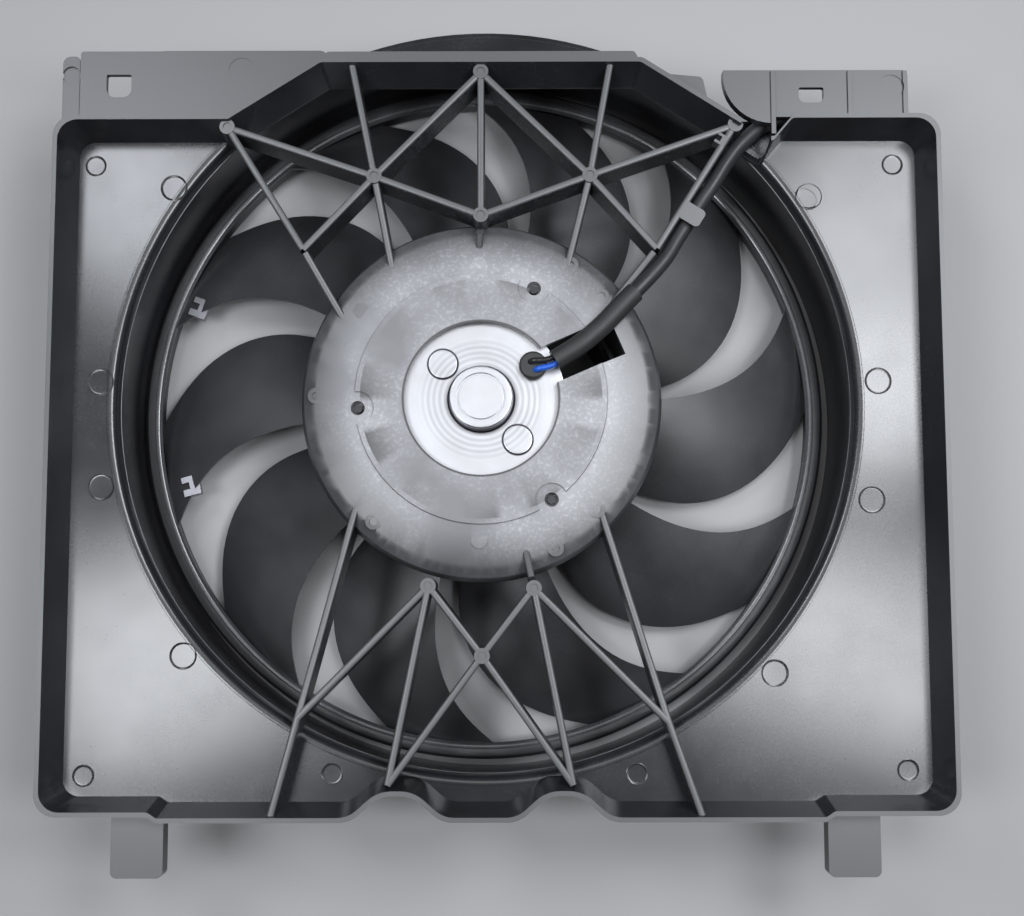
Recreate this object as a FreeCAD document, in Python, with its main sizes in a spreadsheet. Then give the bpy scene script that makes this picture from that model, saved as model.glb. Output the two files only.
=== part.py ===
import FreeCAD
import Part
import Sketcher
import math
import os

# Radiator fan and shroud, millimetres. The part lies radiator side up: z = 0 is the
# barrel's engine-side edge, and the fan turns about a vertical axis.
# Lengths are measured from the fan axis, and every sub-part is then placed by it.

sizes = dict(
    # overall shroud
    overall_height=96.0,
    rim_left=274.0,
    rim_right=294.5,
    rim_top=182.0,
    rim_bottom=261.0,
    rim_corner=14.0,
    shell_wall=3.0,
    plenum_depth=21.6,
    plenum_draft=5.6,
    plate_thickness=2.6,
    bulge_left=104.0,
    bulge_right=104.0,
    bulge_foot_left=163.0,
    bulge_foot_right=171.0,
    bulge_foot_drop=5.5,
    crown_flange=4.0,
    jog_outer=201.0,
    jog_inner=187.5,
    jog_drop=16.0,
    bulge_top=219.5,
    sill_step=3.6,
    sill_left=204.0,
    sill_right=217.0,
    scallop_left=52.0,
    scallop_right=51.5,
    scallop_half_width=10.0,
    scallop_foot=28.0,
    scallop_height=16.0,
    scallop_round=22.0,
    scallop_foot_round=18.0,
    # round barrel
    barrel_offset=2.5,
    barrel_mouth=245.0,
    barrel_throat=240.2,
    barrel_foot=245.5,
    barrel_wall=2.4,
    mouth_roll=8.0,
    foot_bead=1.6,
    foot_bead_height=5.0,
    # top tabs and bottom feet
    tab_thickness=3.0,
    tab_drop=2.0,
    tab_step=0.5,
    tab_step_x=204.0,
    flap_start=258.0,
    flap_slit=1.0,
    flap_drop=1.5,
    flap_top=222.5,
    flap_recess=5.8,
    tab_left_start=270.0,
    tab_left_end=98.0,
    tab_left_top=225.0,
    tab_right_start=187.5,
    tab_dee_radius=31.5,
    tab_dee_y=208.0,
    tab_right_end=275.0,
    tab_right_top=211.5,
    tab_rib=2.8,
    tab_rib_height=1.2,
    slot_width=16.0,
    slot_height=15.0,
    slot_left_x=233.0,
    slot_left_y=202.0,
    slot_right_x=212.7,
    slot_right_y=195.0,
    slot_right_height=10.0,
    mark_depth=0.4,
    lug_drop=10.0,
    foot_width=32.4,
    foot_length=40.0,
    foot_thickness=9.0,
    foot_wall=2.4,
    foot_drop=8.0,
    foot_left_x=212.7,
    foot_right_x=231.0,
    # struts
    strut_width=4.6,
    strut_depth=20.0,
    strut_drop=2.5,
    strut_round=1.9,
    boss_radius=4.9,
    lead_tab_start=24.5,
    lead_tab_width=12.0,
    lead_tab_reach=15.0,
    lead_tab_thickness=2.4,
    lead_eye=7.0,
    lead_eye_depth=7.5,
    lead_eye_start=79.0,
    # motor ring
    ring_radius=117.5,
    ring_edge=10.5,
    ring_plateau=80.6,
    ring_bore=49.5,
    ring_wall=3.0,
    ring_top=86.2,
    ring_step=1.6,
    ring_shoulder_drop=5.5,
    ring_edge_drop=15.0,
    ring_skirt=48.0,
    ring_mark=5.2,
    ring_mark_rise=0.4,
    window_start=50.0,
    window_end=97.0,
    window_width=25.0,
    window_angle=23.5,
    window_offset=2.1,
    # motor screws
    screw_circle=79.2,
    screw_radius=2.5,
    screw_boss=8.0,
    screw_head=5.0,
    screw_head_height=4.0,
    first_screw_angle=64.5,
    ear_level=68.0,
    ear_thickness=2.4,
    ear_width=18.0,
    # motor
    can_radius=54.5,
    can_wall=2.2,
    can_bottom=26.0,
    plate_seat=79.4,
    end_plate_thickness=2.0,
    boss_base=21.0,
    boss_top=14.4,
    boss_height=8.0,
    nose_radius=14.0,
    nose_height=2.5,
    button_radius=9.5,
    button_circle=34.0,
    button_angle=137.0,
    button_height=1.2,
    grommet_circle=39.5,
    grommet_angle=32.5,
    grommet_radius=9.0,
    grommet_neck=7.0,
    grommet_height=5.5,
    shaft_radius=4.0,
    running_gap=0.04,
    bearing_radius=9.5,
    front_bearing_length=10.0,
    rear_bearing_length=8.0,
    magnet_inner=30.5,
    magnet_bottom=42.0,
    magnet_height=22.0,
    magnet_arc=74.0,
    core_radius=29.5,
    core_height=16.0,
    core_slot_width=2.4,
    core_web=9.0,
    core_slots=12,
    coil_inner=10.5,
    coil_outer=26.5,
    coil_rise=4.5,
    commutator_radius=13.0,
    commutator_height=10.0,
    brush_width=8.0,
    brush_height=7.0,
    brush_length=11.0,
    brush_gap=0.3,
    brush_tube_wall=0.8,
    brush_tube_length=14.0,
    card_thickness=2.0,
    card_bore=15.5,
    choke_radius=3.2,
    choke_length=9.5,
    choke_circle=36.0,
    # fan
    hub_radius=96.0,
    hub_wall=2.6,
    hub_bottom=8.0,
    hub_floor=2.6,
    hub_top=45.0,
    hub_round=6.0,
    hub_boss=15.0,
    hub_boss_top=21.0,
    hub_rib=2.0,
    hub_rib_top=20.0,
    blade_count=10,
    blade_thickness=2.4,
    blade_root_lead=3.6,
    blade_root_trail=-27.0,
    blade_sweep=16.8,
    blade_trail_sweep=28.5,
    blade_lead_root=43.0,
    blade_lead_tip=17.0,
    blade_trail_root=13.0,
    blade_trail_tip=7.5,
    blade_camber=4.0,
    fan_ring_inner=229.0,
    fan_ring_wall=2.4,
    fan_ring_bottom=5.0,
    fan_ring_top=20.2,
    fan_lip=238.7,
    nut_across_flats=13.0,
    nut_height=3.0,
    washer_radius=9.0,
    washer_thickness=1.2,
    drive_pin_radius=1.5,
    clip_width=12.0,
    clip_length=14.0,
    clip_thickness=4.4,
    clip_notch=5.0,
    # lead
    sleeve_radius=4.9,
    sleeve_wall=0.7,
    boot_radius=6.6,
    lead_gate_left=167.0,
    lead_gate_right=186.0,
    lead_gate_bottom=18.5,
    lead_apron_left=150.0,
    lead_apron_right=199.0,
    lead_apron_top=187.0,
    wire_radius=1.9,
    connector_length=30.0,
    connector_width=17.0,
    connector_height=13.0,
    seal_lap=6.0,
    seal_wall=1.6,
    connector_x=251.0,
    connector_y=193.0,
)

upper_bars = [
    ("n1", "n4"), ("n4", "n6"), ("n1", "left_cross"), ("rim_left", "n4"),
    ("n2", "n4"), ("n4", "left_cross"), ("n2", "n6"), ("n2", "n5"),
    ("n5", "right_cross"), ("rim_right", "n5"), ("n3", "n5"), ("n5", "n6"),
    ("n3", "right_cross"),
]
upper_landings = [
    ("left_cross", 149.0), ("n4", 123.7), ("n6", 90.5), ("n5", 57.6), ("right_cross", 36.3),
]
lower_bars = [
    ("a", "foot_left"), ("a", "scallop_left"), ("a", "c"), ("c", "scallop_right"),
    ("b", "c"), ("c", "scallop_left"), ("b", "scallop_right"), ("b", "foot_right"),
    ("foot_left", "sill_left"), ("foot_right", "sill_right"),
]
lower_landings = [
    ("foot_left", -139.6), ("a", -106.0), ("b", -74.0), ("foot_right", -43.2),
]
upper_bosses = ["n1", "n2", "n3", "n4", "n5", "n6"]
lower_bosses = ["a", "b", "c"]

# Shallow ejector marks, as (x, y, radius) on the plenum's plate and on the tabs.
plate_marks = [
    (-254.7, 157.6, 6.4), (-202.9, 142.6, 8.2), (-248.3, 13.2, 8.2), (-245.9, -55.5, 8.2),
    (-190.8, -164.1, 8.2), (-252.6, -239.6, 6.4), (-94.8, -238.7, 6.4), (98.6, -239.1, 6.4),
    (187.3, -175.7, 8.2), (270.5, -237.0, 6.4), (252.0, -64.9, 8.2), (258.1, 12.9, 8.2),
    (212.5, 133.1, 8.2), (271.2, 157.3, 6.4),
]
tab_marks = [(-154.0, 212.0, 8.2), (264.0, 200.0, 8.2)]
# Low pads on the motor ring, as (distance in from its edge, angle, depth of its hole).
ring_pads = [
    (29.9, 90.7, 0.0), (21.3, 143.2, 0.0), (12.0, 56.7, 1.5), (14.8, 40.8, 3.0),
    (11.0, 178.7, 0.8), (12.8, 228.8, 0.8), (26.5, 269.2, 0.0), (14.5, 316.0, 0.8),
    (10.3, 296.3, 0.8),
]

# Lead: centre line of the sleeve, from the motor's end plate to the connector.
sleeve_route = [
    (47.0, 23.5, "ring_top + 2.2"), (63.5, 33.5, "ring_top + 2.8"),
    (78.0, 46.0, "ring_top + 3.0"), (91.5, 60.5, "ring_top + 3.0"),
    (105.6, 74.6, "ring_top + 1.8"), (119.5, 90.6, "overall_height - 9.8"),
    (126.8, 103.7, "overall_height - 10.8"), (135.0, 116.3, "overall_height - 10.8"),
    (142.3, 128.2, "overall_height - 11.2"), (150.5, 139.6, "overall_height - 10.9"),
    (157.6, 151.7, "overall_height - 11.4"), (165.6, 163.2, "overall_height - 12.0"),
    (174.0, 172.0, "overall_height - 12.8"), (183.0, 180.0, "overall_height - 14.4"),
    (193.5, 184.2, "overall_height - 15.6"), (205.0, 184.2, "overall_height - 16.2"),
    (216.0, 185.6, "overall_height - 16.5"), (226.0, 193.0, "overall_height - 16.5"),
    (236.0, 193.0, "overall_height - 16.5"),
]
boot_points = 4

doc = FreeCAD.newDocument("radiator_fan")
sheet = doc.addObject("Spreadsheet::Sheet", "Sizes")


def fill_sheet():
    for row, name in enumerate(sizes, start=1):
        sheet.set("A%d" % row, name)
        sheet.set("B%d" % row, str(sizes[name]))
        sheet.setAlias("B%d" % row, name)
    doc.recompute()


def value(formula):
    # A formula is words joined by + and -, each a named size or a number.
    total = 0.0
    sign = 1.0
    for word in str(formula).split():
        if word in "+-":
            sign = 1.0 if word == "+" else -1.0
        else:
            total += sign * (sizes[word] if word in sizes else float(word))
            sign = 1.0
    return total


def bound(formula):
    words = []
    for word in str(formula).split():
        words.append("Sizes." + word if word in sizes else word)
    return " ".join(words)


def place(piece):
    # Move a finished sub-part from the fan axis to its place in the part's frame.
    piece.Placement.Base = FreeCAD.Vector(value("axis_x"), value("axis_y"), 0)
    piece.setExpression("Placement.Base.x", "Sizes.axis_x")
    piece.setExpression("Placement.Base.y", "Sizes.axis_y")


def origin_plane(body, role):
    return [item for item in body.Origin.OriginFeatures if item.Role == role][0]


def bound_sketch(body, role, points, name):
    # A closed outline whose corners are tied to the sheet.
    sketch = body.newObject("Sketcher::SketchObject", name)
    sketch.AttachmentSupport = [(origin_plane(body, role), "")]
    sketch.MapMode = "FlatFace"
    corners = [FreeCAD.Vector(value(across), value(up), 0) for across, up in points]
    for index, corner in enumerate(corners):
        following = corners[(index + 1) % len(corners)]
        sketch.addGeometry(Part.LineSegment(corner, following), False)
    for index, (across, up) in enumerate(points):
        previous = (index - 1) % len(points)
        sketch.addConstraint(Sketcher.Constraint("Coincident", previous, 2, index, 1))
        for kind, formula in (("DistanceX", across), ("DistanceY", up)):
            row = sketch.addConstraint(
                Sketcher.Constraint(kind, -1, 1, index, 1, value(formula)))
            sketch.setExpression("Constraints[%d]" % row, bound(formula))
    return sketch


def turned_body(label, points):
    # A body turned about the vertical axis from an outline of (radius, height) corners.
    body = doc.addObject("PartDesign::Body", label)
    sketch = bound_sketch(body, "XZ_Plane", points, label + "_outline")
    turning = body.newObject("PartDesign::Revolution", label + "_turning")
    turning.Profile = sketch
    turning.ReferenceAxis = (sketch, ["V_Axis"])
    turning.Angle = 360.0
    doc.recompute()
    return body


def cylinder(name, radius, height, base, centre=(0.0, 0.0)):
    piece = doc.addObject("Part::Cylinder", name)
    piece.setExpression("Radius", bound(radius))
    piece.setExpression("Height", bound(height))
    piece.Placement = FreeCAD.Placement(
        FreeCAD.Vector(centre[0], centre[1], value(base)), FreeCAD.Rotation())
    piece.setExpression("Placement.Base.z", bound(base))
    return piece


def cut(name, base, tool):
    result = doc.addObject("Part::Cut", name)
    result.Base = base
    result.Tool = tool
    return result


def fuse(name, pieces):
    result = doc.addObject("Part::MultiFuse", name)
    result.Shapes = pieces
    result.Refine = True
    return result


def feature(name, shape):
    piece = doc.addObject("Part::Feature", name)
    piece.Shape = shape
    return piece


def polar(radius, angle):
    return (radius * math.cos(math.radians(angle)), radius * math.sin(math.radians(angle)))


def rounded_wire(corners, level):
    # A closed wire through (x, y, corner radius) points, every corner a tangent arc.
    edges = []
    joints = []
    count = len(corners)
    for index, (x, y, radius) in enumerate(corners):
        here = FreeCAD.Vector(x, y, level)
        before = FreeCAD.Vector(corners[index - 1][0], corners[index - 1][1], level)
        after_corner = corners[(index + 1) % count]
        after = FreeCAD.Vector(after_corner[0], after_corner[1], level)
        back = (before - here).normalize()
        ahead = (after - here).normalize()
        half = back.getAngle(ahead) / 2.0
        reach = radius / math.tan(half)
        middle = here + (back + ahead).normalize() * (radius / math.sin(half) - radius)
        joints.append((here + back * reach, middle, here + ahead * reach))
    for index, (start, middle, end) in enumerate(joints):
        edges.append(Part.Arc(start, middle, end).toShape())
        following = joints[(index + 1) % count][0]
        edges.append(Part.LineSegment(end, following).toShape())
    return Part.Wire(edges)


def rim_corners(inset):
    # The shroud's outline seen from the radiator, moved inwards by inset.
    left = -value("rim_left") + inset
    right = value("rim_right") - inset
    top = value("rim_top") - inset
    bottom = -value("rim_bottom") + inset
    sill = bottom - value("sill_step")
    crown = value("bulge_top") - inset
    corner = value("rim_corner") - inset * 0.4
    lean = inset * 0.35
    corners = [
        (left, bottom, corner), (-value("sill_left"), bottom, 4.0),
        (-value("sill_left") + value("sill_step") * 1.5, sill, 4.0),
    ]
    for middle in (-value("scallop_left"), value("scallop_right")):
        rise = sill + value("scallop_height")
        foot = value("scallop_foot") + lean
        flat = value("scallop_half_width") + lean
        foot_round = value("scallop_foot_round")
        top_round = value("scallop_round")
        corners += [
            (middle - foot, sill, foot_round), (middle - flat, rise, top_round),
            (middle + flat, rise, top_round), (middle + foot, sill, foot_round),
        ]
    corners += [
        (value("sill_right") - value("sill_step") * 1.5, sill, 4.0),
        (value("sill_right"), bottom, 4.0), (right, bottom, corner), (right, top, corner),
        (value("jog_outer") - lean, top, 4.0),
        (value("jog_inner") - lean, top - value("jog_drop"), 3.0),
        (value("bulge_foot_right") - lean, top - value("bulge_foot_drop"), 3.0),
        (value("bulge_right") - lean, crown, 6.0), (-value("bulge_left") + lean, crown, 6.0),
        (-value("bulge_foot_left") + lean, top, 4.0), (left, top, corner),
    ]
    return corners


def drafted_block(inset_top, inset_bottom, top, bottom):
    wires = [rounded_wire(rim_corners(inset_top), top),
             rounded_wire(rim_corners(inset_bottom), bottom)]
    return Part.makeLoft(wires, True, True)


def flat_plate(corners, bottom, thickness):
    return Part.Face(rounded_wire(corners, bottom)).extrude(FreeCAD.Vector(0, 0, thickness))


def disc(radius, bottom, height, centre=(0.0, 0.0)):
    return Part.makeCylinder(radius, height, FreeCAD.Vector(centre[0], centre[1], bottom))


def slot_cutter(x, y, tall, bottom, height):
    # A mounting slot: square at its top end and round at its lower end.
    wide = value("slot_width") / 2.0
    half = tall / 2.0
    curve = min(5.5, half * 0.8)
    corners = [(x - wide, y - half, curve), (x + wide, y - half, curve),
               (x + wide, y + half, 1.2), (x - wide, y + half, 1.2)]
    return flat_plate(corners, bottom, height)


def left_tab():
    # A flange just under the rim: a slotted plate, a thicker stretch and a slit-off end flap.
    thick = value("tab_thickness")
    level = value("overall_height") - value("tab_drop") - thick
    low = value("rim_top") - value("shell_wall") * 0.5
    top = value("tab_left_top")
    plate = flat_plate([(-value("flap_start"), low, 1.0), (-value("tab_left_end"), low, 1.0),
                        (-value("tab_left_end"), top, 6.0), (-value("flap_start"), top, 2.0)],
                       level, thick)
    raised = flat_plate([(-value("tab_step_x"), low, 1.0), (-value("tab_left_end"), low, 1.0),
                         (-value("tab_left_end"), top, 6.0), (-value("tab_step_x"), top, 0.5)],
                        level, thick + value("tab_step"))
    flap_end = -value("flap_start") - value("flap_slit")
    flap = flat_plate([(-value("tab_left_start"), low, 1.0), (flap_end, low, 1.0),
                       (flap_end, value("flap_top"), 3.0),
                       (-value("tab_left_start"), value("flap_top"), 5.0)],
                      level - value("flap_drop"), thick)
    recess = level - value("flap_drop") + thick - 1.2
    flap = flap.cut(disc(value("flap_recess"), recess, 10.0,
                         (-value("tab_left_start") + 5.6, 210.0)))
    return plate.fuse([raised, flap])


def right_tab():
    # A slotted plate with raised ribs, ending in a rounded plate over the lead's way out.
    thick = value("tab_thickness")
    level = value("overall_height") - value("tab_drop") - thick
    low = value("rim_top") - value("shell_wall") * 0.5
    start = value("tab_right_start")
    top = value("tab_right_top")
    radius = value("tab_dee_radius")
    plate = flat_plate([(start, low, 1.0), (value("tab_right_end"), low, 1.0),
                        (value("tab_right_end"), top, 4.0), (start, top, 0.5)], level, thick)
    centre = (start, value("tab_dee_y"))
    window = Part.makeBox(radius * 2.0, radius + top - value("tab_dee_y"), 40.0,
                          FreeCAD.Vector(start - radius * 2.0, value("tab_dee_y") - radius,
                                         level - 20.0))
    dee = disc(radius, level, thick, centre).common(window)
    wall = disc(radius, level - value("tab_rib_height") * 2.0,
                thick + value("tab_rib_height") * 2.0, centre)
    wall = wall.cut(disc(radius - value("tab_rib"), level - 10.0, 30.0, centre)).common(window)
    rib_top = level + thick + value("tab_rib_height")
    ribs = []
    for x in (start - 0.9, start + 48.5, start + 84.0):
        foot = value("rim_top - jog_drop + 3") if x < start else low
        ribs.append(Part.makeBox(value("tab_rib"), top - foot - 1.0, rib_top - level,
                                 FreeCAD.Vector(x, foot, level)))
    return plate.fuse([dee, wall] + ribs)


def bulge_trim():
    # The crown's wide top edge and a small lug on the right-hand slope.
    height = value("overall_height")
    thick = value("tab_thickness")
    crown = value("bulge_top")
    reach = value("bulge_left") - 2.0
    flange = flat_plate([(-reach, crown - 1.5, 1.0), (reach, crown - 1.5, 1.0),
                         (reach - 3.0, crown + value("crown_flange"), 3.0),
                         (-reach + 3.0, crown + value("crown_flange"), 3.0)],
                        height - thick, thick)
    lug = flat_plate([(118.9, 204.7, 1.0), (144.9, 188.2, 1.0), (148.0, 195.0, 2.0),
                      (144.5, 211.5, 4.0), (122.0, 213.5, 2.0)],
                     height - value("lug_drop") - thick, thick)
    return [flange, lug]


def shroud_panel():
    height = value("overall_height")
    floor = height - value("plenum_depth")
    underside = floor - value("plate_thickness")
    wall = value("shell_wall")
    draft = value("plenum_draft")
    drop = draft * (height - underside) / value("plenum_depth")
    shell = drafted_block(0.0, drop, height, underside)
    hollow = drafted_block(wall, draft + wall, height, floor)
    lid = drafted_block(wall, wall, height + 4.0, height)
    panel = shell.cut(hollow).cut(lid)
    panel = panel.fuse([left_tab(), right_tab()] + bulge_trim())
    for x, y, tall in ((-value("slot_left_x"), value("slot_left_y"), value("slot_height")),
                       (value("slot_right_x"), value("slot_right_y"), value("slot_right_height"))):
        panel = panel.cut(slot_cutter(x, y, tall, height - 20.0, 30.0))
    for x, y, radius in tab_marks:
        level = height - value("tab_drop") + (value("tab_step") if x < 0 else 0.0)
        panel = panel.cut(disc(radius, level - value("mark_depth"), 10.0, (x, y)))
    inside = drafted_block(wall, draft + wall, height, floor)
    panel = panel.cut(inside)
    centre = (value("barrel_offset"), 0.0)
    segment = disc(value("barrel_foot") + value("barrel_wall"), underside,
                   value("plate_thickness"), centre)
    reach = value("rim_left + rim_right")
    above_chord = Part.makeBox(reach * 2.0, reach, height,
                               FreeCAD.Vector(-reach, value("rim_top") - 20.0, underside))
    panel = panel.fuse(segment.common(above_chord).cut(inside))
    low = value("rim_top - jog_drop - 10")
    apron = flat_plate([(value("lead_apron_left"), low, 2.0), (value("lead_apron_right"), low, 2.0),
                        (value("lead_apron_right"), value("lead_apron_top"), 6.0),
                        (value("lead_apron_left"), value("lead_apron_top"), 6.0)],
                       underside, value("plate_thickness"))
    panel = panel.fuse(apron)
    marks = [disc(radius, floor - value("mark_depth"), 5.0, (x, y))
             for x, y, radius in plate_marks]
    gate_foot = value("rim_top - jog_drop - 6")
    gate = Part.makeBox(value("lead_gate_right") - value("lead_gate_left"),
                        value("tab_dee_y - tab_dee_radius") - gate_foot,
                        value("lead_gate_bottom") + 1.0,
                        FreeCAD.Vector(value("lead_gate_left"), gate_foot,
                                       height - value("lead_gate_bottom")))
    panel = panel.cut(marks + [gate])
    panel = panel.cut(disc(value("barrel_mouth"), underside - 1.0, 30.0, centre).common(
        drafted_block(draft + wall, draft + wall, height, underside - 1.0)))
    half = value("foot_width") / 2.0
    top = height - value("foot_drop")
    thick = value("foot_thickness")
    skin = value("foot_wall")
    sill = -value("rim_bottom") + 1.2
    for x in (-value("foot_left_x"), value("foot_right_x")):
        foot = flat_plate([(x - half, sill - value("foot_length"), 4.0),
                           (x + half, sill - value("foot_length"), 4.0),
                           (x + half, sill, 0.6), (x - half, sill, 0.6)], top - thick, thick)
        pocket = Part.makeBox(half * 2.0 - 2.0 * skin, value("foot_length") - 2.0 * skin,
                              thick - skin,
                              FreeCAD.Vector(x - half + skin,
                                             sill - value("foot_length") + skin, top - thick))
        panel = panel.fuse(foot.cut(pocket).cut(shell))
    return panel.removeSplitter()


def fan_barrel():
    # The round barrel: a rolled mouth under the plate, a throat and a beaded foot.
    height = value("overall_height")
    floor = height - value("plenum_depth")
    mouth = value("barrel_mouth")
    throat = value("barrel_throat")
    wall = value("barrel_wall")
    foot = value("barrel_foot")
    bead = value("foot_bead")
    bead_top = value("foot_bead_height")
    roll = value("mouth_roll")

    def point(radius, level):
        return FreeCAD.Vector(radius, 0, level)

    throat_level = floor - roll
    under = floor - value("plate_thickness")
    lean = (mouth - throat) * 0.3
    inner_roll = Part.Arc(point(mouth, floor), point(throat + lean, floor - roll * 0.3),
                          point(throat, throat_level)).toShape()
    line = [point(throat, throat_level), point(foot, 0), point(foot + wall + bead, 0),
            point(foot + wall + bead, bead_top), point(foot + wall, bead_top),
            point(throat + wall + 2.6, under - 8.0), point(mouth + wall, under),
            point(mouth, under), point(mouth, floor)]
    edges = [inner_roll]
    for start, end in zip(line, line[1:]):
        edges.append(Part.LineSegment(start, end).toShape())
    profile = Part.Face(Part.Wire(edges))
    solid = profile.revolve(FreeCAD.Vector(0, 0, 0), FreeCAD.Vector(0, 0, 1), 360)
    solid.translate(FreeCAD.Vector(value("barrel_offset"), 0, 0))
    return solid


def strut_node(name):
    # Where the struts meet, tied to the rim, the bulge and the sill.
    top = value("rim_top")
    crown = value("bulge_top")
    sill = -value("rim_bottom") - 0.5
    scallop = sill + value("scallop_height") + 3.0
    nodes = {
        "n1": (-value("bulge_foot_left"), top - 7.0), "n2": (0.0, crown - 8.0),
        "n3": (value("bulge_foot_right") - 7.2, top - 6.0),
        "n4": (-68.4, 142.5), "n5": (70.1, 142.9), "n6": (0.0, 116.8),
        "left_cross": (-113.5, 94.8), "right_cross": (112.5, 95.0),
        "rim_left": (20.5 - value("bulge_left"), crown - 1.9),
        "rim_right": (value("bulge_right") - 20.2, crown - 1.9),
        "a": (-32.8, -120.0), "b": (33.2, -121.4), "c": (0.8, -163.4),
        "foot_left": (-113.5, -201.3), "foot_right": (116.4, -204.2),
        "sill_left": (-129.6, sill), "sill_right": (136.4, sill),
        "scallop_left": (-value("scallop_left") - 5.5, scallop),
        "scallop_right": (value("scallop_right") + 5.5, scallop),
    }
    return nodes[name]


def bar(name, start, end, rise_end=0.0):
    # One strut: a deep blade with a rounded radiator-side edge, from start to end.
    run = math.hypot(end[0] - start[0], end[1] - start[1])
    heading = math.degrees(math.atan2(end[1] - start[1], end[0] - start[0]))
    dip = math.degrees(math.atan2(-rise_end, run))
    blade = doc.addObject("Part::Box", name)
    blade.Length = run / math.cos(math.radians(dip))
    blade.setExpression("Width", "Sizes.strut_width")
    blade.setExpression("Height", "Sizes.strut_depth")
    turn = FreeCAD.Rotation(FreeCAD.Vector(0, 0, 1), heading).multiply(
        FreeCAD.Rotation(FreeCAD.Vector(0, 1, 0), dip))
    offset = turn.multVec(FreeCAD.Vector(0, -value("strut_width") / 2.0, 0))
    top = value("overall_height") - value("strut_drop")
    base = FreeCAD.Vector(start[0], start[1], top - value("strut_depth")) + offset
    blade.Placement = FreeCAD.Placement(base, turn)
    doc.recompute()
    rounded = doc.addObject("Part::Fillet", name + "_rounded")
    rounded.Base = blade
    chosen = []
    for index, edge in enumerate(blade.Shape.Edges, start=1):
        local = turn.inverted().multVec(edge.CenterOfMass - base)
        if edge.Length > run * 0.9 and local.z > value("strut_depth") * 0.9:
            chosen.append((index, value("strut_round"), value("strut_round")))
    rounded.Edges = chosen
    return rounded


def lead_tab():
    # A flat tab beside the lead holds the sleeve down, and a square eye stands by its end.
    start = strut_node("right_cross")
    end = strut_node("n3")
    heading = math.degrees(math.atan2(end[1] - start[1], end[0] - start[0]))
    top = value("overall_height") - value("strut_drop")
    tab = Part.makeBox(value("lead_tab_width"), value("lead_tab_reach"),
                       value("lead_tab_thickness"),
                       FreeCAD.Vector(value("lead_tab_start"), -value("lead_tab_reach"),
                                      top - value("lead_tab_thickness")))
    corners = [edge for edge in tab.Edges if edge.BoundBox.ZLength > 1.0
               and edge.BoundBox.YMin < -value("lead_tab_reach") + 0.1]
    tab = tab.makeFillet(3.0, corners)
    tab.rotate(FreeCAD.Vector(0, 0, 0), FreeCAD.Vector(0, 0, 1), heading)
    tab.translate(FreeCAD.Vector(start[0], start[1], 0))
    eye_size = value("lead_eye")
    eye_low = top - value("lead_eye_depth")
    eye = Part.makeBox(eye_size, eye_size, value("lead_eye_depth"),
                       FreeCAD.Vector(value("lead_eye_start"), -1.0, eye_low))
    slit = Part.makeBox(eye_size * 0.5, eye_size * 0.5, value("lead_eye_depth") * 2.0,
                        FreeCAD.Vector(value("lead_eye_start") + eye_size * 0.25,
                                       value("strut_width") * 0.5 + 0.3, eye_low - 2.0))
    eye = eye.cut(slit)
    eye.rotate(FreeCAD.Vector(0, 0, 0), FreeCAD.Vector(0, 0, 1), heading)
    eye.translate(FreeCAD.Vector(start[0], start[1], 0))
    return [feature("lead_tab", Part.makeCompound([tab])), feature("lead_eye_moulding", eye)]


def strut_group(label, bars, landings, bosses, envelope, panel, fan_barrel_piece, extras):
    pieces = []
    for index, (start, end) in enumerate(bars, start=1):
        pieces.append(bar("%s_bar_%d" % (label, index), strut_node(start), strut_node(end)))
    for index, (start, angle) in enumerate(landings, start=1):
        landing = FreeCAD.Vector(*polar(value("ring_shoulder") - 2.0, angle), 0.0)
        fall = value("ring_top - ring_shoulder_drop - overall_height + strut_drop")
        begin = FreeCAD.Vector(*strut_node(start), 0.0)
        begin += (begin - landing).normalize() * value("strut_width") * 0.5
        pieces.append(bar("%s_landing_%d" % (label, index), begin, landing, fall))
    depth = "overall_height - strut_drop - strut_depth"
    for index, node in enumerate(bosses, start=1):
        pieces.append(cylinder("%s_boss_%d" % (label, index), "boss_radius",
                               "strut_depth + 0.3", depth, strut_node(node)))
    pieces += extras
    doc.recompute()
    recesses = [cylinder("%s_recess_%d" % (label, index), "boss_radius - 2.2", "2",
                         "overall_height - strut_drop - 0.5", strut_node(node))
                for index, node in enumerate(bosses, start=1)]
    network = cut(label + "_network", fuse(label + "_bars", pieces),
                  fuse(label + "_recesses", recesses))
    clear_ring = cut(label + "_clear_ring", network, envelope)
    clear_panel = cut(label + "_clear_panel", clear_ring, panel)
    struts = cut(label, clear_panel, fan_barrel_piece)
    doc.recompute()
    solids = sorted(struts.Shape.Solids, key=lambda solid: solid.Volume)
    kept = feature(label + "_moulding", solids[-1])
    return kept


def ring_profile():
    # Outer line of the motor ring, from the bore's edge to the foot of the skirt.
    return [
        ("ring_bore", "ring_top"), ("ring_plateau", "ring_top"),
        ("ring_plateau + 0.6", "ring_top - ring_step"),
        ("ring_shoulder", "ring_top - ring_shoulder_drop"),
        ("ring_radius - 2.6", "ring_top - ring_shoulder_drop - 4.5"),
        ("ring_radius", "ring_top - ring_edge_drop"), ("ring_radius", "ring_skirt"),
    ]


def pads_on_ring(name):
    # Low round pads on the motor ring's sloping shoulder, some with a blind hole.
    slope = (value("ring_shoulder_drop - ring_step")
             / value("ring_shoulder - ring_plateau - 0.6"))
    pads = []
    for index, (inset, angle, hole) in enumerate(ring_pads):
        radius = value("ring_radius") - inset
        level = value("ring_top - ring_step + ring_mark_rise")
        level -= (radius - value("ring_plateau + 0.6")) * slope
        centre = polar(radius, angle)
        pad = disc(value("ring_mark"), level - 3.0, 3.0, centre)
        if hole:
            pad = pad.cut(disc(value("ring_mark") * 0.5, level - hole, 5.0, centre))
        pads.append(feature("%s_%d" % (name, index), pad))
    return pads


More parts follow.
